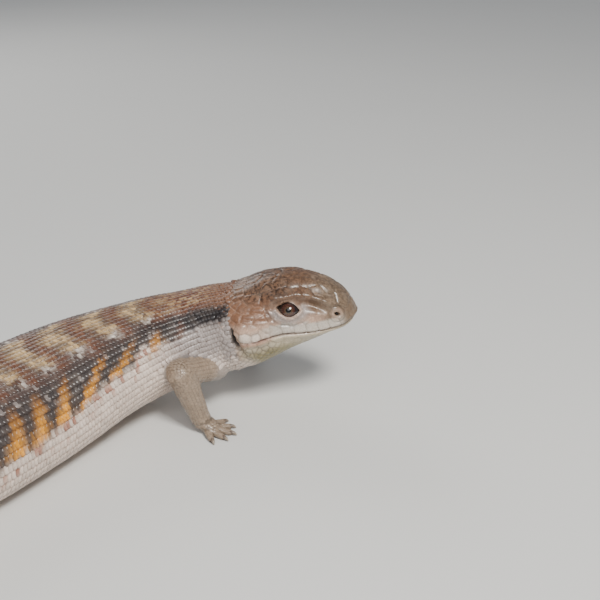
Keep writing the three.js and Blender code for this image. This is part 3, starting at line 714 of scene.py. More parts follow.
def open_lids(grid, relief):
    """The skin swells over each eyeball and opens in an almond, with folds below it."""
    points = grid.points
    grid.lid = np.full(len(points), 9.0)
    grid.groove = np.zeros(len(points))
    step = 0.05
    for side in (1, -1):
        centre, out, forward, upward = eye_frame(side)
        away = points - centre
        x, y, z = away @ forward, away @ upward, away @ out
        near = (z > 0) & (np.hypot(x, y) < 11)
        distance = np.where(near, lids_distance(x, y), 9.0)
        # Points beside the edge are drawn on to it, so that the edge is clean
        pull = np.where(near & (np.abs(distance) < 0.26), distance, 0.0)
        slope_x = (lids_distance(x + step, y) - lids_distance(x - step, y)) / (2 * step)
        slope_y = (lids_distance(x, y + step) - lids_distance(x, y - step)) / (2 * step)
        x, y = x - pull * slope_x, y - pull * slope_y
        distance = np.where(near, lids_distance(x, y), 9.0)
        cover = EYE_RADIUS + LID_THICKNESS * (0.45 + 0.55 * ramp(distance, 0, 1.2))
        cover = cover + 0.35 * relief * ramp(distance, 0.1, 0.8)
        shell = np.sqrt(np.clip(cover ** 2 - x * x - y * y, 0.01, None))
        inside = np.sqrt(np.clip((EYE_RADIUS - 1.3) ** 2 - x * x - y * y, 0.01, None))
        merged = LID_BLEND * np.log(np.exp(np.clip(z / LID_BLEND, -40, 40))
                                    + np.exp(np.clip(shell / LID_BLEND, -40, 40)))
        merged = np.where(np.hypot(x, y) < EYE_RADIUS + 1.5, merged, z)
        share = 1 - ramp(distance, 3.0, 5.5)
        # groove: how far the lid folds sink; paint_head also darkens them by it as painted shade
        folds = bump(distance, 3.6, 0.5) + 0.6 * bump(distance, 1.7, 0.35) + 0.5 * bump(distance, 2.6, 0.3)
        grid.groove = np.maximum(grid.groove, folds * ramp(1.5 - y - 0.4 * x, 0, 4) * near)
        height = np.where(distance > -0.3, shell, inside)
        height = np.where(distance > 0.02, z * (1 - share) + merged * share, height)
        moved = centre + x[:, None] * forward + y[:, None] * upward + height[:, None] * out
        points = np.where(near[:, None], moved, points)
        grid.lid = np.where(near, distance, grid.lid)
    grid.points = points


def paint_head(grid, hollow, grain):
    """Colours of the head's points: shields, lids, openings, speckles and the mouth line."""
    at, up, lid, calm = grid.at, grid.up, grid.lid, grid.calm
    colour = head_colour(at, up, grid.turn, grid.chance)
    below_eye = ramp(EYE_HEIGHT + 1.5 - up, 0, 2.5)
    colour = lay(colour, "cheek", bump(lid, 0.5, 0.45) * (lid > 0) * (0.35 + 0.5 * below_eye))
    colour = lay(colour, "collar", 0.8 * bump(lid, 1.8, 1.3) * (lid > 0) * below_eye)
    # Painted shade: black inside the lid opening under the eyeball and in the deep hollows of the nostrils
    # and ears
    colour = lay(colour, "black", np.where(lid < 0.0, 0.95, 0) + 0.9 * ramp(hollow, 1.0, 2.0))
    nostrils = np.zeros(len(at))
    for side in (1, -1):
        spot = head_spot(side, NOSTRIL_AT, NOSTRIL_HEIGHT)[0]
        away = np.linalg.norm(grid.points - spot, axis=1)
        nostrils = np.maximum(nostrils, 1 - ramp(away, 2.2, 3.2))
        # Painted shade in the crease round each nasal scale
        colour *= (1 - 0.3 * bump(away, NOSTRIL_SCALE, 0.35))[:, None]
    colour = lay(colour, "cheek", 0.38 * nostrils * (hollow < 0.3))
    # Shield borders: pale lines on the crown and darker lines elsewhere, partly the borders' own colour and
    # partly painted shade in their grooves
    line = bump(grid.border, 0, 0.15) * ramp(lid, 2.0, 4.0)
    above = ramp(grid.above_mouth, 4, 7)
    colour = lay(colour, "cheek", 0.4 * line * above * calm * (1 - grid.crown))
    colour *= (1 - 0.45 * line * (1 - above * (1 - grid.crown)) * calm)[:, None]
    top = ramp(up, grid.brow - 1, grid.brow + 2) * (1 - ramp(at, 48, 56))
    speckles = ramp(grain, 0.03, 0.16) * top * np.minimum(bump(at, 36, 7) + 0.5, 1)
    colour *= (1 - 0.72 * speckles)[:, None]
    colour *= (1 + 0.4 * ramp(-grain, 0.12, 0.35) * above)[:, None]
    # Painted shade in the sunken lid folds below the eyes
    colour *= (1 - 0.3 * grid.groove)[:, None]
    corner_fold = bump(grid.above_mouth, -0.6, 1.2) * ramp(at, 32, 38) * (1 - ramp(at, 46, 50))
    colour = lay(colour, "pink", 0.5 * corner_fold)
    colour = lay(colour, "pink", 0.45 * bump(grid.above_mouth, 0, 0.42) * grid.mouth)
    # Painted shade in the groove of the mouth line
    colour *= (1 - 0.6 * bump(grid.above_mouth, 0, 0.22) * grid.mouth)[:, None]
    return colour


def head_skin():
    """The head as one fine surface: folds, lids, shields, mouth, nostrils and ears."""
    grid = head_grid()
    grain = 0.5 * noise_at(grid.points, 0.9) + 0.5 * noise_at(grid.points, 1.9)
    rims, hollow = head_openings(grid)
    lift = fold_lift(grid) + shield_lift(grid) + rims
    lift -= 1.15 * bump(grid.above_mouth, 0, 0.34) * grid.mouth
    grid.points = grid.points + grid.facing * (lift - hollow)[:, None]
    open_lids(grid, lift - hollow)
    tuck = ramp(grid.at, HEAD_END - 4, HEAD_END)
    grid.points = grid.points - grid.facing * (0.4 * grid.groove + 1.3 * tuck)[:, None]
    colour = paint_head(grid, hollow, grain)
    faces = ring_faces(len(grid.points) // HEAD_SIDES, HEAD_SIDES)
    tip = len(grid.points)
    faces += [(tip, (i + 1) % HEAD_SIDES, i) for i in range(HEAD_SIDES)]
    # edge: darker rims at the shield borders, partly their own colour and partly painted shade in the
    # grooves
    edge = 0.5 * bump(grid.border, 0, 0.3) * grid.calm * (1 - ramp(grid.above_mouth, 4, 7))
    fleck = ramp(grid.up, 9, 14) * (1 - 0.5 * ramp(grid.at, 44, 56))
    return SimpleNamespace(
        points=np.vstack([grid.points, grid.points[:HEAD_SIDES].mean(0)]), faces=faces,
        colour=np.vstack([colour, colour[:HEAD_SIDES].mean(0)]),
        tint=np.append(grid.chance, 0.5), edge=np.append(edge, 0.0), fleck=np.append(fleck, 0.0))


# Meshes
def ring_faces(rings, sides):
    """Quads between rings of points."""
    faces = []
    for ring in range(rings - 1):
        for i in range(sides):
            a, b = ring * sides + i, ring * sides + (i + 1) % sides
            faces.append((a, b, b + sides, a + sides))
    return faces


def closed_rings(points, sides):
    """Points and faces of rings, closed at both ends by a point in the middle."""
    count = len(points)
    faces = ring_faces(count // sides, sides)
    for i in range(sides):
        j = (i + 1) % sides
        faces.append((count, j, i))
        faces.append((count + 1, count - sides + i, count - sides + j))
    return np.vstack([points, points[:sides].mean(0), points[-sides:].mean(0)]), faces


def flipped(faces):
    """Faces turned to look the other way."""
    return [tuple(reversed(face)) for face in faces]


def join_forms(forms):
    """Several forms as one list of points and one of faces."""
    points, faces, start = [], [], 0
    for form_points, form_faces in forms:
        points.append(form_points)
        faces += [tuple(start + i for i in face) for face in form_faces]
        start += len(form_points)
    return np.vstack(points), faces


def plain_mesh(name, points, faces):
    """A smooth-shaded mesh in metres from points in millimetres."""
    mesh = bpy.data.meshes.new(name)
    mesh.from_pydata((np.asarray(points) * MM).tolist(), [], faces)
    mesh.update()
    mesh.shade_smooth()
    return mesh


def place_object(name, mesh):
    """An object at the origin that shows a mesh, in place of any of that name."""
    old = bpy.data.objects.get(name)
    if old:
        bpy.data.objects.remove(old)
    piece = bpy.data.objects.new(name, mesh)
    bpy.context.scene.collection.objects.link(piece)
    return piece


def finish_piece(piece, material, slot, *nodes):
    """Gives a piece its material and its body, and hides the model's parts for the nodes that it stands
    for.
    """
    piece.data.materials.clear()
    piece.data.materials.append(material)
    piece.data.polygons.foreach_set("material_index", np.zeros(len(piece.data.polygons), np.int32))
    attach(piece, "root")
    if nodes:
        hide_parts(*nodes)
    return piece


def evaluated_mesh(piece):
    """The mesh that a piece's modifiers make."""
    graph = bpy.context.evaluated_depsgraph_get()
    return bpy.data.meshes.new_from_object(piece.evaluated_get(graph))


def mesh_points(mesh):
    """Points of a mesh, in millimetres."""
    values = np.empty(len(mesh.vertices) * 3)
    mesh.vertices.foreach_get("co", values)
    return values.reshape(-1, 3) / MM


def loop_points(mesh):
    """The point that each corner of each face stands on."""
    corners = np.empty(len(mesh.loops), np.int32)
    mesh.loops.foreach_get("vertex_index", corners)
    return corners


def give_values(mesh, **columns):
    """Writes named values to the points of a mesh; the markings are colours."""
    for name, values in columns.items():
        values = np.asarray(values, float)
        kind, key = ("FLOAT", "value") if values.ndim == 1 else ("FLOAT_VECTOR", "vector")
        if name == "marking":
            kind, key = "FLOAT_COLOR", "color"
            values = np.column_stack([values, np.ones(len(values))])
        old = mesh.attributes.get(name)
        if old:
            mesh.attributes.remove(old)
        mesh.attributes.new(name, kind, "POINT").data.foreach_set(key, values.ravel())


def read_values(mesh, name, width):
    """Named values of the points of a mesh, a row for each point."""
    values = np.empty(len(mesh.vertices) * width)
    mesh.attributes[name].data.foreach_get("vector" if width == 3 else "value", values)
    return values.reshape(-1, width)


def remeshed(name, forms, voxel, smoothing):
    """Overlapping closed forms made into one even surface, as points and faces."""
    piece = place_object(name, plain_mesh(name, *join_forms(forms)))
    grid = piece.modifiers.new("join", "REMESH")
    grid.mode = "VOXEL"
    grid.voxel_size = voxel * MM
    grid.use_smooth_shade = True
    soften = piece.modifiers.new("soften", "SMOOTH")
    soften.factor = 0.5
    soften.iterations = smoothing
    mesh = evaluated_mesh(piece)
    bpy.data.objects.remove(piece)
    points = mesh_points(mesh)
    points[:, 2] = np.maximum(points[:, 2], SKIN_FLOOR)
    return points, [tuple(face.vertices) for face in mesh.polygons]


# Body, limbs and feet
def body_form():
    """The closed loft of neck, trunk and tail, less the depth of the scales."""
    at = np.concatenate([
        np.arange(BODY_START, TOTAL_LENGTH - 3, BODY_STEP), TOTAL_LENGTH - np.array([3, 2, 1, 0.4, 0.1])])
    at = np.repeat(at[:, None], BODY_SIDES, axis=1)
    turn = 2 * math.pi * np.arange(BODY_SIDES) / BODY_SIDES
    grow = -COAT_DEPTH * (1 - ramp(at, 440, 478) * 0.5)
    return closed_rings(skin_point(at, turn, grow).reshape(-1, 3), BODY_SIDES)


def smooth_path(points, shares):
    """Points and directions along a smooth curve through points; shares run from nought to one."""
    points = np.asarray(points, float)
    padded = np.vstack([2 * points[0] - points[1], points, 2 * points[-1] - points[-2]])
    places, ways = [], []
    for share in shares:
        place = min(max(share, 0), 1) * (len(points) - 1)
        i = min(int(place), len(points) - 2)
        w = place - i
        p0, p1, p2, p3 = padded[i:i + 4]
        d0, d1, d2 = (math.sqrt(np.linalg.norm(b - a)) for a, b in ((p0, p1), (p1, p2), (p2, p3)))
        lead = ((p1 - p0) / d0 - (p2 - p0) / (d0 + d1) + (p2 - p1) / d1) * d1
        trail = ((p2 - p1) / d1 - (p3 - p1) / (d1 + d2) + (p3 - p2) / d2) * d1
        rise = w * w * (3 - 2 * w)
        places.append(p1 * (1 - rise) + p2 * rise + lead * w * (1 - w) ** 2 + trail * w * w * (w - 1))
        ways.append((p2 - p1) * 6 * w * (1 - w) + lead * (1 - w) * (1 - 3 * w) + trail * w * (3 * w - 2))
    return np.array(places), unit(np.array(ways))


def tube_points(centres, half_widths, half_heights, shares, angles, grow=0.0):
    """Points, outward directions and onward directions of an oval tube."""
    middles, ways = smooth_path(centres, shares)
    ends = np.linspace(0, 1, len(half_widths))
    wide = curve_through(list(zip(ends, half_widths)))(shares) + grow
    high = curve_through(list(zip(ends, half_heights)))(shares) + grow
    side = unit(np.cross(np.array([0.0, 0.0, 1.0]), ways))
    up = np.cross(ways, side)
    sine, cosine = np.sin(angles), np.cos(angles)
    out = side * (sine * wide)[:, None] + up * (cosine * high)[:, None]
    facing = unit(side * (sine * high)[:, None] + up * (cosine * wide)[:, None])
    return middles + out, facing, ways


def tube_form(centres, half_widths, half_heights, sides=20, between=5, grow=0.0):
    """A closed oval tube as points and faces."""
    rings = (len(centres) - 1) * between + 1
    shares = np.repeat(np.linspace(0, 1, rings), sides)
    angles = np.tile(2 * math.pi * np.arange(sides) / sides, rings)
    points = tube_points(centres, half_widths, half_heights, shares, angles, grow)[0]
    points, faces = closed_rings(points, sides)
    return points, flipped(faces)


def limb_joints(name):
    """The joints of a limb from inside the body to the wrist or ankle, and the ways ahead and out."""
    kind, side, elbow, hand, _ = LIMBS[name]
    origin, ahead, left, _ = spine_at(float(kind["station"]))
    ahead = unit(ahead * [1, 1, 0])
    out = left * side
    root = origin + out * float(half_width(kind["station"])) * kind["across"] + [0, 0, kind["up"]]
    bend = root + ahead * elbow[0] + out * elbow[1] + [0, 0, elbow[2]]
    end = bend + ahead * hand[0] + out * hand[1]
    end[2] = ANKLE_HEIGHT
    return root, bend, end, ahead, out


def limb_path(name):
    """Middles, half widths and half heights along a limb."""
    kind = LIMBS[name][0]
    root, bend, end, _, _ = limb_joints(name)
    centres = [root + (bend - root) * share for share in (0, 0.45, 0.85)]
    centres += [bend + (end - bend) * share for share in (0, 0.2, 0.6, 1)]
    widths = kind["upper"] + kind["lower"]
    return centres, widths, [width * THINNESS for width in widths]


def foot_parts(name):
    """Palm and toes of a foot as tubes, with the root, way, length and radius of each claw."""
    kind, side, _, _, points = LIMBS[name]
    _, _, wrist, ahead, out = limb_joints(name)

    def aim(turn):
        return ahead * math.cos(math.radians(turn)) + out * math.sin(math.radians(turn))

    def level(point, height):
        return np.array([point[0], point[1], height])

    def onward(share, height):
        return level(wrist + forward * length * share, height)

    length, wide, high = kind["palm"]
    forward = aim(points)
    resting = high - FLOOR_PRESS
    palm = (
        [level(wrist - forward * 2.5, ANKLE_HEIGHT + 1.5), onward(0.3, resting + 1.2),
         onward(0.75, resting), onward(1.15, resting - 0.6)],
        [3.4, wide * 0.92, wide, wide * 0.7], [3.4, high * 1.15, high, high * 0.6],
    )
    knuckles = onward(1, resting)
    across = np.cross([0, 0, 1], forward)
    radius = kind["toe_radius"]
    low = radius - FLOOR_PRESS
    toes, claws = [], []
    for digit, (turn, reach) in enumerate(kind["toes"]):
        place = ((digit - 2) / 2) * wide * 0.72 * -side
        way = aim(points - turn)
        base = knuckles - across * place - forward * (abs(digit - 2) * 0.7 + 1.6)
        arch = level(base + way * (reach + 1.6) * 0.5, low + 0.7)
        tip = level(base + way * (reach + 1.6), low + 0.35)
        toes.append(([base, arch, tip], [radius * 1.15, radius, radius * 0.78],
                     [radius * 1.1, radius, radius * 0.8]))
        claws.append((level(tip, low + 0.7), way, kind["claw"], radius * 0.62))
    return palm, toes, claws


def where_on_body(points):
    """Station, angle from the back and share of the section's radius, for points near the body."""
    first, batch = 46, 8000
    at = np.zeros(len(points))
    for start in range(0, len(points), batch):
        part = points[start:start + batch]
        away = np.linalg.norm(part[:, None, :] - SPINE[None, first:], axis=2)
        at[start:start + batch] = np.argmin(away, axis=1) + first
    for _ in range(2):
        origin, forward, left, up = spine_at(at)
        at = np.clip(at - ((points - origin) * forward).sum(1), 0, TOTAL_LENGTH)
    origin, forward, left, up = spine_at(at)
    side, rise = ((points - origin) * left).sum(1), ((points - origin) * up).sum(1)
    turn = np.arctan2(side / half_width(at), rise / np.where(rise > 0, back_height(at), belly_depth(at)))
    out = np.hypot(*section_offset(at, turn))
    return at, turn, np.hypot(side, rise) / np.maximum(out, 0.1)


# Scales: each root is a row of its place, facing, way back, length, width, station, angle, limb
# share and place on the bake map
PLACE, FACING, BACKWARD, LENGTH, WIDTH = slice(0, 3), slice(3, 6), slice(6, 9), 9, 10
STATION, ANGLE, SPOT, BAKE_PLACE = 11, 12, slice(11, 14), slice(14, 16)
BAKE_SHARE, BAKE_PATCH = 2.5, 0.003
# Rows of scales: from, to, columns round the body, length of each step
SCALE_ROWS = [
    (51.5, 66, 60, 1.5), (66, 92, 52, 1.75), (92, 256, 56, 1.95), (256, 300, 44, 1.95),
    (300, 346, 36, 1.95), (346, 392, 28, 1.9), (392, 436, 20, 1.8), (436, 479, 14, 1.6),
]
# Columns, step, start, end and place on the bake map of the scales on limbs, palms and toes
ARM_ROWS, LEG_ROWS = (20, 1.35, 0.1, 1.0, 1.1), (24, 1.5, 0.1, 1.0, 1.1)
PALM_ROWS, TOE_ROWS = (14, 1.3, 0.1, 1.0, 1.21), (8, 1.1, 0.1, 0.98, 1.22)


def body_roots():
    """Roots of the scales on neck, trunk and tail."""
    rows = []
    shares = np.linspace(0, 1, 81)
    for start, end, columns, step in SCALE_ROWS:
        for column in range(columns):
            at = np.arange(start + step * 0.5 * (column % 2), end, step)
            share = (column + 0.5) / columns * 2
            mark = 1 if share <= 1 else -1
            share = share if share <= 1 else 2 - share
            turns, lengths = even_angles(at, 80)
            turn = np.array([np.interp(share, shares, row) for row in turns]) * mark
            rows.append(np.column_stack([
                *skin_frame(at, turn, -COAT_DEPTH), np.full(len(at), step * 1.75),
                lengths * 2 / columns * 1.3, at, turn, np.zeros(len(at)), at / TOTAL_LENGTH,
                np.full(len(at), 0.5 + 0.5 * share * mark)]))
    return np.vstack(rows)


def tube_roots(tube, station, layout, shift, fades):
    """Roots of the scales on a limb, palm or toe."""
    centres, wide, high = tube
    columns, step, start, end, patch = layout
    girths = (np.array(wide) + np.array(high)) * math.pi
    fine = np.linspace(start, end, 120)
    rows = []
    for column in range(columns):
        angle = 2 * math.pi * (column + 0.5) / columns
        line = tube_points(centres, wide, high, fine, np.full(len(fine), angle))[0]
        run = np.concatenate([[0], np.cumsum(np.linalg.norm(np.diff(line, axis=0), axis=1))])
        count = max(int(round(run[-1] / step)), 1)
        shares = np.interp((np.arange(count) + 0.5 * (column % 2) + 0.25) * run[-1] / count, run, fine)
        even = np.ones(count)
        girth = np.interp(shares, np.linspace(0, 1, len(wide)), girths)
        rows.append(np.column_stack([
            *tube_points(centres, wide, high, shares, even * angle, -COAT_DEPTH * 0.8),
            even * step * 1.7, girth / columns * 1.3, even * station, even * 1.9,
            ramp(shares, 0.0, 0.15) if fades else even, patch + shift + 0.1 * shares,
            even * column / columns]))
    return np.vstack(rows)


def limb_roots(name):
    """Roots of the scales on an arm or leg."""
    shift = 0.3 * list(LIMBS).index(name)
    layout = ARM_ROWS if "fore" in name else LEG_ROWS
    return tube_roots(limb_path(name), LIMBS[name][0]["station"], layout, shift, True)


def foot_roots(name):
    """Roots of the scales on a palm and its toes."""
    shift, station = 0.3 * list(LIMBS).index(name), LIMBS[name][0]["station"]
    palm, toes, _ = foot_parts(name)
    rows = [tube_roots(palm, station, PALM_ROWS, shift, False)]
    rows += [tube_roots(toe, station, TOE_ROWS, shift + 0.02 * digit, False)
             for digit, toe in enumerate(toes)]
    return np.vstack(rows)


def settle_roots(rows, tree):
    """Brings the roots on to the skin and leaves out those under it or under the belly."""
    kept = []
    for row in rows:
        facing = Vector(row[FACING])
        place, normal, _, distance = tree.find_nearest(Vector(row[PLACE]))
        if place is None or distance > 1.1 or place.z < 0.42 or facing.dot(normal) < 0.45:
            continue
        row = row.copy()
        row[PLACE] = place
        row[FACING] = (facing * 0.35 + normal * 0.65).normalized()
        kept.append(row)
    return np.array(kept)


def feed(tree, node, inputs):
    """Gives a node's inputs, by name or place, links or plain values."""
    for place, value in inputs.items():
        if isinstance(value, bpy.types.NodeSocket):
            tree.links.new(value, node.inputs[place])
        else:
            node.inputs[place].default_value = value


def add_node(tree, kind, inputs=None, **settings):
    """A node with its settings and inputs."""
    node = tree.nodes.new(kind)
    for name, value in settings.items():
        setattr(node, name, value)
    feed(tree, node, inputs or {})
    return node


def add_sockets(tree, way, rows):
    """Sockets of a node group: name, kind and, where it has one, the value at first."""
    for name, kind, *value in rows:
        socket = tree.interface.new_socket(name, in_out=way, socket_type="NodeSocket" + kind)
        if value:
            socket.default_value = value[0]


def scale_tree(form, seed):
    """Geometry nodes that set one scale on each point, turned along the body."""
    tree = bpy.data.node_groups.new("Overlapping scales", "GeometryNodeTree")
    add_sockets(tree, "INPUT", (("Points", "Geometry"), ("Tilt", "Float", 0.09),
                                ("Unevenness", "Float", 0.035), ("Seed", "Int", seed),
                                ("Material", "Material")))
    add_sockets(tree, "OUTPUT", (("Scales", "Geometry"),))
    given = add_node(tree, "NodeGroupInput").outputs

    def named(name):
        node = add_node(tree, "GeometryNodeInputNamedAttribute", {"Name": name}, data_type="FLOAT_VECTOR")
        return node.outputs["Attribute"]

    points = add_node(tree, "GeometryNodeMeshToPoints", {"Mesh": given["Points"], "Radius": 0.0001})
    one = add_node(tree, "GeometryNodeObjectInfo", {"Object": form})
    along = add_node(
        tree, "FunctionNodeAxesToRotation",
        {"Primary Axis": named("facing"), "Secondary Axis": named("backward")},
        primary_axis="Z", secondary_axis="X")
    most = add_node(tree, "ShaderNodeVectorMath", {0: (1, 1, 1), "Scale": given["Unevenness"]},
                    operation="SCALE").outputs[0]
    least = add_node(tree, "ShaderNodeVectorMath", {0: most, "Scale": -1}, operation="SCALE").outputs[0]
    uneven = add_node(tree, "FunctionNodeRandomValue", {"Min": least, "Max": most, "Seed": given["Seed"]},
                      data_type="FLOAT_VECTOR").outputs["Value"]
    lift = add_node(tree, "ShaderNodeMath", {0: given["Tilt"], 1: -1}, operation="MULTIPLY").outputs[0]
    lean = add_node(tree, "ShaderNodeCombineXYZ", {"Y": lift}).outputs[0]
    total = add_node(tree, "ShaderNodeVectorMath", {0: lean, 1: uneven}, operation="ADD").outputs[0]
    change = add_node(tree, "FunctionNodeEulerToRotation", {0: total})
    both = add_node(
        tree, "FunctionNodeRotateRotation",
        {"Rotation": along.outputs["Rotation"], "Rotate By": change.outputs["Rotation"]},
        rotation_space="LOCAL")
    copies = add_node(tree, "GeometryNodeInstanceOnPoints", {
        "Points": points.outputs["Points"], "Instance": one.outputs["Geometry"],
        "Rotation": both.outputs["Rotation"], "Scale": named("size")})
    real = add_node(tree, "GeometryNodeRealizeInstances", {"Geometry": copies.outputs["Instances"]})
    paint = add_node(tree, "GeometryNodeSetMaterial",
                     {"Geometry": real.outputs["Geometry"], "Material": given["Material"]})
    add_node(tree, "NodeGroupOutput", {"Scales": paint.outputs["Geometry"]})
    return tree


def scale_form(name, rows, columns):
    """One scale of length, width and height one: low in front, round and free behind, domed."""
    def outline(u):
        front = np.sqrt(np.clip(1 - (1 - np.clip(u / 0.42, 0, 1)) ** 2, 0, 1))
        rear = np.sqrt(np.clip(1 - np.clip((u - 0.56) / 0.44, 0, 1) ** 2.3, 0, 1))
        return max(float(np.minimum(front, rear)), 0.03)

    points, edge, faces = [], [], []
    for i in range(rows + 1):
        u = 0.5 - 0.5 * math.cos(math.pi * i / rows)
        half = 0.5 * outline(u)
        for j in range(columns + 1):
            v = -1 + 2 * j / columns
            y = half * v
            rim = min(1, (1 - abs(v)) * half / 0.12, (1 - u) / 0.16) if 0 < i < rows else 0
            dome = 0.7 * (1 - (2 * y) ** 2) - 0.7
            points.append((u - 0.28, y, dome + 0.5 * math.sqrt(max(rim, 0))))
            # edge: one at the rim and on the sides, which the material darkens, partly as the scale's own
            # edge colour and partly as painted shade between the scales
            edge.append(1 - max(rim, 0))
    wide = columns + 1
    for i in range(rows):
        for j in range(columns):
            a = i * wide + j
            faces.append((a, a + wide, a + wide + 1, a + 1))
    border = list(range(columns)) + [i * wide + columns for i in range(rows)]
    border += [rows * wide + columns - j for j in range(columns)] + [(rows - i) * wide for i in range(rows)]
    ring = list(range(len(points), len(points) + len(border)))
    points += [(points[i][0], points[i][1], points[i][2] - 0.4) for i in border]
    edge += [1.0] * len(border)
    for i, a in enumerate(border):
        j = (i + 1) % len(border)
        faces.append((a, border[j], ring[j], ring[i]))
    faces.append(tuple(ring))
    mesh = plain_mesh(name, np.array(points) / MM, faces)
    give_values(mesh, edge=edge, local=points)
    layer = mesh.uv_layers.new(name="OFBake")
    layer.data.foreach_set("uv", np.array(points)[loop_points(mesh), :2].ravel())
    return bpy.data.objects.new(name, mesh)


def lay_scales(name, rows, form, thickness, tilt, material, seed):
    """Scales on their roots, made real as one mesh."""
    rng = np.random.default_rng(seed)
    chance = rng.random(len(rows))
    size = np.column_stack([rows[:, LENGTH], rows[:, WIDTH], np.full(len(rows), thickness)]) * MM
    size[:, :2] *= (0.95 + 0.1 * rng.random((len(rows), 1)))
    radius = np.hypot(*section_offset(rows[:, STATION], rows[:, ANGLE]))
    roots = plain_mesh(name + "_roots", rows[:, PLACE] + rows[:, FACING] * 0.1, [])
    give_values(roots, facing=rows[:, FACING], backward=rows[:, BACKWARD], size=size, tint=chance,
                spot=rows[:, SPOT], span=np.column_stack([rows[:, LENGTH], rows[:, WIDTH], radius]),
                patch=np.column_stack([rows[:, BAKE_PLACE], np.zeros(len(rows))]))
    piece = place_object(name, roots)
    grow = piece.modifiers.new("scales", "NODES")
    grow.node_group = scale_tree(form, seed)
    sockets = {item.name: item.identifier for item in grow.node_group.interface.items_tree
               if item.in_out == "INPUT"}
    for socket, value in (("Tilt", tilt), ("Seed", seed), ("Material", material)):
        grow[sockets[socket]] = value
    mesh = evaluated_mesh(piece)
    piece.modifiers.clear()
    piece.data = mesh
    bpy.data.meshes.remove(roots)
    points = mesh_points(mesh)
    points[:, 2] = np.maximum(points[:, 2], SCALE_FLOOR)
    mesh.vertices.foreach_set("co", (points * MM).ravel())
    mesh.update()
    mesh.shade_smooth()
    spot, span, local, patch = (read_values(mesh, key, 3) for key in ("spot", "span", "local", "patch"))
    at = spot[:, 0] + local[:, 0] * span[:, 0]
    turn = spot[:, 1] - local[:, 1] * span[:, 1] / np.maximum(span[:, 2], 1)
    give_values(mesh, marking=body_colour(at, turn, read_values(mesh, "tint", 1)[:, 0], spot[:, 2]))
    layer = mesh.uv_layers["OFBake"]
    inner = np.empty(len(mesh.loops) * 2)
    layer.data.foreach_get("uv", inner)
    patches = patch[loop_points(mesh), :2] / BAKE_SHARE + inner.reshape(-1, 2) * BAKE_PATCH
    layer.data.foreach_set("uv", patches.ravel())
    for spare in ("facing", "backward", "size", "patch", "spot", "span", "local"):
        if spare in mesh.attributes:
            mesh.attributes.remove(mesh.attributes[spare])
    return piece


# Materials
GRAIN_DEPTH = 0.00012
LID_EDGE_RADIUS, LID_EDGE_COLOUR = 0.2, (0.36, 0.27, 0.22)


def new_material(name, inputs):
    """An empty node material with its Principled shader and that shader's plain inputs."""
    material = bpy.data.materials.get(name) or bpy.data.materials.new(name)
    material.use_nodes = True
    tree = material.node_tree
    tree.nodes.clear()
    shader = add_node(tree, "ShaderNodeBsdfPrincipled", inputs)
    add_node(tree, "ShaderNodeOutputMaterial", {"Surface": shader.outputs[0]})
    return material, tree, shader


def mesh_value(tree, name, output="Fac"):
    """Reads a named value from the mesh."""
    return add_node(tree, "ShaderNodeAttribute", attribute_name=name).outputs[output]


def mix_colours(tree, blend, factor, first, second):
    """A colour mix whose inputs may be sockets or plain values."""
    return add_node(tree, "ShaderNodeMix", {0: factor, 6: first, 7: second},
                    data_type="RGBA", blend_type=blend, clamp_factor=True).outputs[2]


def maths(tree, operation, *values):
    """A sum on sockets or plain values."""
    return add_node(tree, "ShaderNodeMath", dict(enumerate(values)), operation=operation).outputs[0]


def stretch(tree, value, low, high):
    """Brings a value from low..high to nought..one."""
    inputs = {"From Min": low, "From Max": high, "Value": value}
    return add_node(tree, "ShaderNodeMapRange", inputs).outputs["Result"]


def noise_value(tree, scale, detail=2.0):
    """Noise over the object's own coordinates."""
    place = add_node(tree, "ShaderNodeTexCoord").outputs["Object"]
    inputs = {"Vector": place, "Scale": scale, "Detail": detail}
    return add_node(tree, "ShaderNodeTexNoise", inputs).outputs["Fac"]


def skin_group():
    """Shared effect: skin colour with streaks, specks and darker rims, partly the edges' own colour and
    partly painted shade between scales and shields; also roughness and height.
    """
    group = bpy.data.node_groups.get("Skin surface")
    if group:
        return group
    group = bpy.data.node_groups.new("Skin surface", "ShaderNodeTree")
    add_sockets(group, "INPUT", (("Marking", "Color"), ("Edge", "Float"), ("Tint", "Float"),
                                 ("Fleck", "Float"), ("Grain Scale", "Float", 900),
                                 ("Edge Shade", "Float", 0.3)))
    add_sockets(group, "OUTPUT", (("Colour", "Color"), ("Roughness", "Float"), ("Height", "Float")))
    given = add_node(group, "NodeGroupInput").outputs
    grain = noise_value(group, given["Grain Scale"], 3)

    def change(blend, amount, share, onto):
        return mix_colours(group, blend, maths(group, "MULTIPLY", amount, share), colour, onto)

    tone = maths(group, "MULTIPLY_ADD", given["Tint"], 0.24, 0.88)
    shade = add_node(group, "ShaderNodeCombineColor", {"Red": tone, "Green": tone, "Blue": tone})
    colour = mix_colours(group, "MULTIPLY", 1.0, given["Marking"], shade.outputs[0])
    colour = change("MULTIPLY", stretch(group, grain, 0.42, 0.72), 0.55, (0.62, 0.52, 0.46, 1))
    pale = stretch(group, noise_value(group, 260), 0.5, 0.75)
    colour = change("SCREEN", pale, 0.25, (0.25, 0.2, 0.16, 1))
    specks = stretch(group, noise_value(group, 950, 3), 0.53, 0.62)
    specks = maths(group, "MULTIPLY", specks, given["Fleck"])
    specks = maths(group, "MULTIPLY", specks, stretch(group, noise_value(group, 170, 3), 0.38, 0.6))
    colour = change("MIX", specks, 0.75, (0.075, 0.046, 0.036, 1))
    # Darker rims: partly the edges' own colour, partly painted shade in the gaps between scales and shields
    colour = change("MULTIPLY", given["Edge"], given["Edge Shade"], (0.3, 0.22, 0.18, 1))
    rough = maths(group, "MULTIPLY_ADD", grain, 0.34, 0.2)
    add_node(group, "NodeGroupOutput", {"Colour": colour, "Roughness": rough, "Height": grain})
    return group


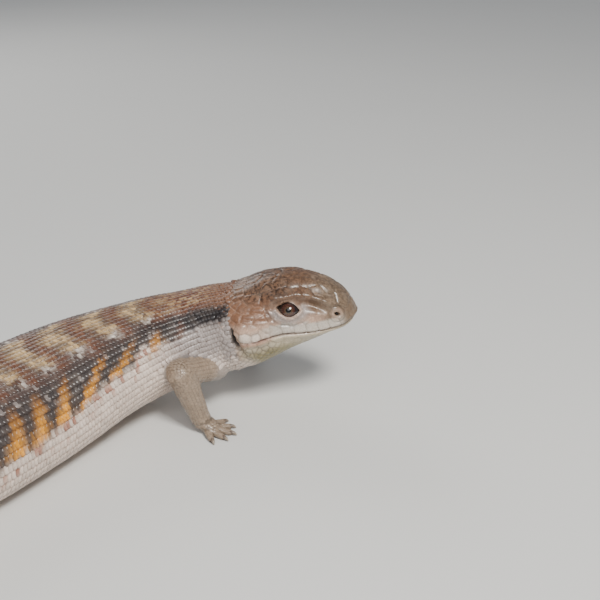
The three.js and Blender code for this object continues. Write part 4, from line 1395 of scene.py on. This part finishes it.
def skin_material(name, grain, edge_shade, relief, gloss):
    """A skin or scale finish that reads the markings from the mesh."""
    material, tree, shader = new_material(name, {
        "Specular IOR Level": 0.38, "Coat Weight": gloss, "Coat Roughness": 0.22})
    surface = add_node(tree, "ShaderNodeGroup", {
        "Grain Scale": grain, "Edge Shade": edge_shade, "Marking": mesh_value(tree, "marking", "Color"),
        "Edge": mesh_value(tree, "edge"), "Tint": mesh_value(tree, "tint"),
        "Fleck": mesh_value(tree, "fleck")}, node_tree=skin_group()).outputs
    bumps = add_node(tree, "ShaderNodeBump", {
        "Strength": relief, "Distance": GRAIN_DEPTH, "Height": surface["Height"]})
    feed(tree, shader, {"Base Color": surface["Colour"], "Roughness": surface["Roughness"],
                        "Normal": bumps.outputs["Normal"]})
    return material


def eye_material(iris, pupil_size, iris_size):
    """Dark pupil, red-brown iris with rays and a thin pale ring, and a near-black rim, under a wet coat."""
    material, tree, shader = new_material("Eye", {"Coat Weight": 0.7, "Coat Roughness": 0.03})
    rays = noise_value(tree, 1900, 4)
    rings = [
        (0.0, (0.003, 0.002, 0.002)), (pupil_size * 0.94, (0.003, 0.002, 0.002)),
        (pupil_size, (0.085, 0.052, 0.026)), (pupil_size + 0.4, (0.095, 0.056, 0.028)),
        (pupil_size + 0.75, iris), (iris_size * 0.9, tuple(0.7 * c for c in iris)),
        (iris_size, (0.018, 0.011, 0.010)), (EYE_RADIUS, (0.012, 0.009, 0.009)),
    ]
    away = maths(tree, "DIVIDE", mesh_value(tree, "away"), EYE_RADIUS)
    bands = add_node(tree, "ShaderNodeValToRGB", {"Fac": away})
    stops = bands.color_ramp.elements
    while len(stops) < len(rings):
        stops.new(0.5)
    for stop, (radius, colour) in zip(stops, rings):
        stop.position, stop.color = radius / EYE_RADIUS, (*colour, 1)
    streaks = maths(tree, "MULTIPLY", stretch(tree, rays, 0.4, 0.65), 0.7)
    colour = mix_colours(tree, "MULTIPLY", streaks, bands.outputs["Color"], (0.35, 0.2, 0.16, 1))
    feed(tree, shader, {"Base Color": colour, "Roughness": maths(tree, "MULTIPLY_ADD", rays, 0.06, 0.1)})
    return material


def horn_material():
    """Claws: dark horn that pales to the tip, with fine grain."""
    material, tree, shader = new_material("Claw horn", {})
    grain = noise_value(tree, 2200)
    along = mesh_value(tree, "along")
    colour = mix_colours(tree, "MIX", along, (0.085, 0.06, 0.05, 1), (0.42, 0.34, 0.26, 1))
    colour = mix_colours(tree, "MULTIPLY", maths(tree, "MULTIPLY", grain, 0.6), colour, (0.5, 0.45, 0.4, 1))
    feed(tree, shader, {"Base Color": colour, "Roughness": maths(tree, "MULTIPLY_ADD", grain, 0.2, 0.25)})
    return material


def studio_material(name, colour, roughness):
    """A plain matt finish with a faint mottle."""
    material, tree, shader = new_material(name, {"Roughness": roughness})
    mottle = maths(tree, "MULTIPLY", noise_value(tree, 9), 0.12)
    tone = mix_colours(tree, "MULTIPLY", mottle, (*colour, 1), (0.8, 0.8, 0.8, 1))
    feed(tree, shader, {"Base Color": tone})
    return material


# Eyes, lights and camera
def eyeball_mesh(name, side, frame_):
    """A ball with a low bulge over the iris, and how far each point is from the gaze."""
    centre, facing, forward, upward = frame_
    rings, sides = 72, 72
    lean = np.linspace(0.02, math.pi - 0.02, rings)[:, None]
    turn = 2 * math.pi * np.arange(sides) / sides
    x, y = EYE_RADIUS * np.sin(lean) * np.cos(turn), EYE_RADIUS * np.sin(lean) * np.sin(turn)
    z = np.repeat(np.cos(lean) * EYE_RADIUS, sides, axis=1)
    from_gaze = np.hypot(x - GAZE[0], y - GAZE[1])
    z = z + (0.35 * bump(from_gaze, 0, 2.0) - 0.15) * (z > 0)
    points = centre + x[..., None] * forward + y[..., None] * upward + z[..., None] * facing
    points, faces = closed_rings(points.reshape(-1, 3), sides)
    mesh = plain_mesh(f"{name}_eyeball", points, flipped(faces) if side < 0 else faces)
    away = np.where(z > 0, from_gaze, EYE_RADIUS).ravel()
    give_values(mesh, away=np.append(away, [math.hypot(*GAZE), EYE_RADIUS]))
    return mesh


def lid_edge_mesh(name, frame_):
    """A thin pale cord along the edge of the lids."""
    centre, facing, forward, upward = frame_
    xs, ys = lid_outline(0.12)
    height = np.sqrt(np.maximum((EYE_RADIUS + LID_THICKNESS * 0.42) ** 2 - xs ** 2 - ys ** 2, 1))
    middle = centre + xs[:, None] * forward + ys[:, None] * upward + height[:, None] * facing
    way = unit(np.roll(middle, -1, 0) - np.roll(middle, 1, 0))
    out = unit(middle - centre)
    across = np.cross(way, out)
    ring, number = 8, len(middle)
    turn = (2 * math.pi * np.arange(ring) / ring)[:, None]
    round_ = out[:, None] * np.cos(turn) + across[:, None] * np.sin(turn)
    tube = (middle[:, None] + LID_EDGE_RADIUS * round_).reshape(-1, 3)
    faces = [tuple(corner % len(tube) for corner in face) for face in ring_faces(number + 1, ring)]
    mesh = plain_mesh(f"{name}_lid_edge", tube, flipped(faces))
    still = np.zeros(len(tube))
    give_values(mesh, marking=np.tile(LID_EDGE_COLOUR, (len(tube), 1)), tint=still + 0.6, edge=still,
                fleck=still)
    return mesh


def add_aimed(name, data, position, target):
    """A light or camera that looks from a place at a target."""
    piece = bpy.data.objects.new(name, data)
    bpy.context.scene.collection.objects.link(piece)
    piece.location = position
    piece.rotation_euler = (target - position).to_track_quat("-Z", "Y").to_euler()
    return piece


def add_light(name, kind, position, energy, colour, **settings):
    """A light that looks at the middle of the view."""
    data = bpy.data.lights.new(name, kind)
    data.energy, data.color = energy, colour
    for key, value in settings.items():
        setattr(data, key, value)
    add_aimed(name, data, Vector(position), Vector(LIGHTS_TARGET))


# Pieces of scales on the body: name, first and last station, slot
BODY_PIECES = [
    ("neck_scales", 50, 92, "back"), ("chest_scales", 92, 140, "back"), ("trunk_scales", 140, 198, "back"),
    ("flank_scales", 198, 256, "back"), ("loin_scales", 256, 300, "back"),
    ("tail_root_scales", 300, 370, "tail"), ("tail_scales", 370, 482, "tail"),
]
BODY_NODES = ["head", "jaw", "neck", "chest", "trunk", "loin", "tail_root", "tail_middle", "tail_tip"]
LIMB_NODES = ["upper_arm", "forearm", "hand", "thigh", "shank", "foot"]
LIGHTS_TARGET = (0.1, -0.04, 0.04)
FLOOR_REACH = 6000


# Sizes and colours that may be changed
class SkinkScales(bpy.types.PropertyGroup):
    """Sizes of the overlapping scales."""
    thickness: FloatProperty(
        name="Scale height", description="Height of the dome of a body scale", default=0.5 * MM, min=0,
        unit="LENGTH", subtype="DISTANCE", precision=5)
    limb_thickness: FloatProperty(
        name="Limb scale height", description="Height of the dome of a scale on arms and legs",
        default=0.18 * MM, min=0, unit="LENGTH", subtype="DISTANCE", precision=5)
    tilt: FloatProperty(
        name="Tilt", description="How far the free edge of a scale lifts", default=0.1, subtype="ANGLE",
        unit="ROTATION")
    seed: IntProperty(name="Seed", description="Seed of the scales' unevenness", default=7, min=0)


class SkinkSkin(bpy.types.PropertyGroup):
    """Fineness and gloss of the skin."""
    voxel: FloatProperty(
        name="Body mesh size", description="Size of the body skin's mesh", default=1.5 * MM, min=0.0005,
        unit="LENGTH", subtype="DISTANCE", precision=5)
    gloss: FloatProperty(
        name="Gloss", description="Weight of the clear coat on the scales", default=0.35, min=0, max=1,
        subtype="FACTOR")


class SkinkEyes(bpy.types.PropertyGroup):
    """Sizes and colour of the eyes."""
    iris_radius: FloatProperty(
        name="Iris radius", description="Radius of the iris", default=2.9 * MM, min=0, unit="LENGTH",
        subtype="DISTANCE", precision=5)
    pupil_radius: FloatProperty(
        name="Pupil radius", description="Radius of the pupil", default=1.1 * MM, min=0, unit="LENGTH",
        subtype="DISTANCE", precision=5)
    iris_colour: FloatVectorProperty(
        name="Iris", description="Colour of the iris", default=(0.075, 0.026, 0.016), size=3, min=0, max=1,
        subtype="COLOR")


class SkinkStage(bpy.types.PropertyGroup):
    """Floor and lights."""
    floor_colour: FloatVectorProperty(
        name="Floor", description="Colour of the floor", default=(0.72, 0.72, 0.7), size=3, min=0, max=1,
        subtype="COLOR")
    key_power: FloatProperty(
        name="Key light", description="Power of the main soft light", default=9.5, min=0, unit="POWER")
    fill_power: FloatProperty(
        name="Fill light", description="Strength of the broad fill light", default=0.8, min=0)


class SKINK_OT_skin(bpy.types.Operator):
    """Makes the skin of head, body, limbs and feet"""
    bl_idname = "skink.skin"
    bl_label = "Skin"

    def execute(self, context):
        settings = context.scene.skink_skin
        head = head_skin()
        forms, feet = [body_form()], []
        for name in LIMBS:
            palm, toes, _ = foot_parts(name)
            forms += [tube_form(*limb_path(name), sides=28, grow=0.3), tube_form(*palm, grow=-0.1)]
            feet.append(tube_form(*palm, grow=-0.15))
            feet += [tube_form(*toe, sides=14, grow=-0.05) for toe in toes]
        body = remeshed("body_form", forms, settings.voxel / MM, 5)
        paws = remeshed("paw_form", feet, 0.55, 3)
        colours = [head.colour]
        for form in (body, paws):
            at, turn, out = where_on_body(form[0])
            limb = ramp(out, 1.04, 1.2) if form is body else 1.0
            # Painted shade: the bare skin of body and paws, under and between the scales, takes its
            # markings darkened to 0.55
            colours.append(body_colour(at, turn, np.full(len(at), 0.5), limb) * 0.55)
        points, faces = join_forms([(head.points, head.faces), body, paws])
        points[:, 2] = np.maximum(points[:, 2], SCALE_FLOOR)
        mesh = plain_mesh("skin", points, faces)
        spare = len(points) - len(head.points)
        give_values(
            mesh, marking=np.vstack(colours), tint=np.append(head.tint, np.full(spare, 0.5)),
            edge=np.append(head.edge, np.zeros(spare)), fleck=np.append(head.fleck, np.zeros(spare)))
        at, turn, _ = where_on_body(points)
        place = np.column_stack([at / TOTAL_LENGTH, 0.5 + turn / (2 * math.pi)]) / BAKE_SHARE
        layer = mesh.uv_layers.new(name="OFBake")
        layer.data.foreach_set("uv", place[loop_points(mesh)].ravel())
        if len(mesh.polygons) < 1000:
            raise RuntimeError("the skin came out empty")
        finish_piece(
            place_object("skin", mesh), skin_material("Skin", 1400, 0.5, 0.3, settings.gloss), "crown",
            *BODY_NODES, *[f"{side}_{part}" for side in ("left", "right") for part in LIMB_NODES])
        return {"FINISHED"}


class SKINK_OT_scales(bpy.types.Operator):
    """Lays the overlapping scales on neck, trunk, tail and limbs"""
    bl_idname = "skink.scales"
    bl_label = "Scales"

    def execute(self, context):
        settings, gloss = context.scene.skink_scales, context.scene.skink_skin.gloss
        skin = bpy.data.objects["skin"].data
        tree = BVHTree.FromPolygons(
            mesh_points(skin).tolist(), [tuple(face.vertices) for face in skin.polygons])
        form = scale_form("scale_form", 5, 4)
        coat = skin_material("Scales", 1500, 0.8, 0.3, gloss)
        rows = settle_roots(body_roots(), tree)
        for number, (name, start, end, slot) in enumerate(BODY_PIECES):
            part = rows[(rows[:, STATION] >= start) & (rows[:, STATION] < end)]
            piece = lay_scales(name, part, form, settings.thickness / MM, settings.tilt, coat,
                               settings.seed + number)
            finish_piece(piece, coat, slot)
        fine = skin_material("Limb scales", 1500, 0.42, 0.2, gloss)
        groups = [("arm_scales", limb_roots, ("right_fore", "left_fore")),
                  ("leg_scales", limb_roots, ("right_hind", "left_hind")),
                  ("foot_scales", foot_roots, LIMBS)]
        for number, (name, make_roots, limbs) in enumerate(groups):
            rows = settle_roots(np.vstack([make_roots(limb) for limb in limbs]), tree)
            piece = lay_scales(name, rows, form, settings.limb_thickness / MM, settings.tilt * 0.45, fine,
                               settings.seed + 20 + number)
            finish_piece(piece, fine, "limb")
        return {"FINISHED"}


class SKINK_OT_eyes(bpy.types.Operator):
    """Makes the eyeballs and the pale edges of the lids"""
    bl_idname = "skink.eyes"
    bl_label = "Eyes"

    def execute(self, context):
        settings = context.scene.skink_eyes
        eye = eye_material(
            tuple(settings.iris_colour), settings.pupil_radius / MM, settings.iris_radius / MM)
        edge = skin_material("Lid edge", 1600, 0.0, 0.2, 0.6)
        for name, side in (("left", 1), ("right", -1)):
            frame_ = eye_frame(side)
            finish_piece(place_object(f"{name}_eyeball", eyeball_mesh(name, side, frame_)), eye, "eye",
                         f"{name}_eye")
            finish_piece(place_object(f"{name}_lid_edge", lid_edge_mesh(name, frame_)), edge, "crown")
        return {"FINISHED"}


class SKINK_OT_claws(bpy.types.Operator):
    """Makes the twenty claws"""
    bl_idname = "skink.claws"
    bl_label = "Claws"

    def execute(self, context):
        forms, along = [], []
        for base, way, length, radius in (claw for name in LIMBS for claw in foot_parts(name)[2]):
            middle, tip = base + way * length * 0.5, base + way * length
            middle[2] -= 0.1 * length
            tip[2] -= 0.42 * length
            points, faces = tube_form(
                [base - way * 1.2, middle, tip], [radius, radius * 0.8, 0.16],
                [radius, radius * 0.85, 0.18], sides=12, between=7)
            forms.append((points, faces))
            along.append(np.clip(((points - base) @ way) / length, 0, 1))
        points, faces = join_forms(forms)
        points[:, 2] = np.maximum(points[:, 2], SCALE_FLOOR)
        mesh = plain_mesh("claws", points, faces)
        give_values(mesh, along=np.concatenate(along))
        finish_piece(place_object("claws", mesh), horn_material(), "limb")
        return {"FINISHED"}


class SKINK_OT_stage(bpy.types.Operator):
    """Sets the pale floor, the soft lights and the camera"""
    bl_idname = "skink.stage"
    bl_label = "Stage"

    def execute(self, context):
        settings = context.scene.skink_stage
        corners = [(x * FLOOR_REACH, y * FLOOR_REACH, 0) for x, y in ((-1, -1), (1, -1), (1, 1), (-1, 1))]
        floor = place_object("floor", plain_mesh("floor", corners, [(0, 1, 2, 3)]))
        floor.data.materials.append(studio_material("Studio floor", tuple(settings.floor_colour), 0.8))

        world = bpy.data.worlds.get("Studio") or bpy.data.worlds.new("Studio")
        world.use_nodes = True
        feed(world.node_tree, world.node_tree.nodes["Background"],
             {"Color": (0.9, 0.93, 1.0, 1), "Strength": 0.24})
        context.scene.world = world
        add_light("key_light", "AREA", (-0.02, -0.55, 0.75), settings.key_power, (1.0, 0.97, 0.92),
                  shape="DISK", size=0.24)
        add_light("fill_light", "SUN", (-0.7, -0.75, 0.9), settings.fill_power, (0.93, 0.96, 1.0),
                  angle=0.7)
        add_light("rim_light", "AREA", (0.2, 0.8, 0.5), 2.0, (1.0, 0.98, 0.95), shape="DISK", size=0.5)

        view = bpy.data.cameras.new("camera")
        view.sensor_width = 36
        view.sensor_fit = "HORIZONTAL"
        view.lens = 18 / math.tan(math.radians(CAMERA_ANGLE) / 2)
        context.scene.camera = add_aimed(
            "camera", view, Vector(CAMERA_AT) * MM, Vector(CAMERA_TARGET) * MM)
        return {"FINISHED"}


class SKINK_PT_panel(bpy.types.Panel):
    """Lists the pieces of the skink"""
    bl_idname = "SKINK_PT_panel"
    bl_label = "Blue-tongued skink"
    bl_space_type = "VIEW_3D"
    bl_region_type = "UI"
    bl_category = "Skink"

    def draw(self, context):
        for operator in OPERATORS:
            self.layout.operator(operator.bl_idname)
        for group in GROUPS:
            settings = getattr(context.scene, group)
            box = self.layout.box()
            for name in settings.bl_rna.properties.keys():
                if name not in ("rna_type", "name"):
                    box.prop(settings, name)


OPERATORS = (SKINK_OT_skin, SKINK_OT_scales, SKINK_OT_eyes, SKINK_OT_claws, SKINK_OT_stage)
GROUPS = {"skink_skin": SkinkSkin, "skink_scales": SkinkScales, "skink_eyes": SkinkEyes,
          "skink_stage": SkinkStage}
CLASSES = (*GROUPS.values(), *OPERATORS, SKINK_PT_panel)


def register():
    for kind in CLASSES:
        bpy.utils.register_class(kind)
    for name, group in GROUPS.items():
        setattr(bpy.types.Scene, name, PointerProperty(type=group))


def unregister():
    for name in GROUPS:
        delattr(bpy.types.Scene, name)
    for kind in reversed(CLASSES):
        bpy.utils.unregister_class(kind)


def main():
    register()
    bpy.ops.skink.skin()
    bpy.ops.skink.scales()
    bpy.ops.skink.eyes()
    bpy.ops.skink.claws()
    bpy.ops.skink.stage()


if __name__ == "__main__":
    main()
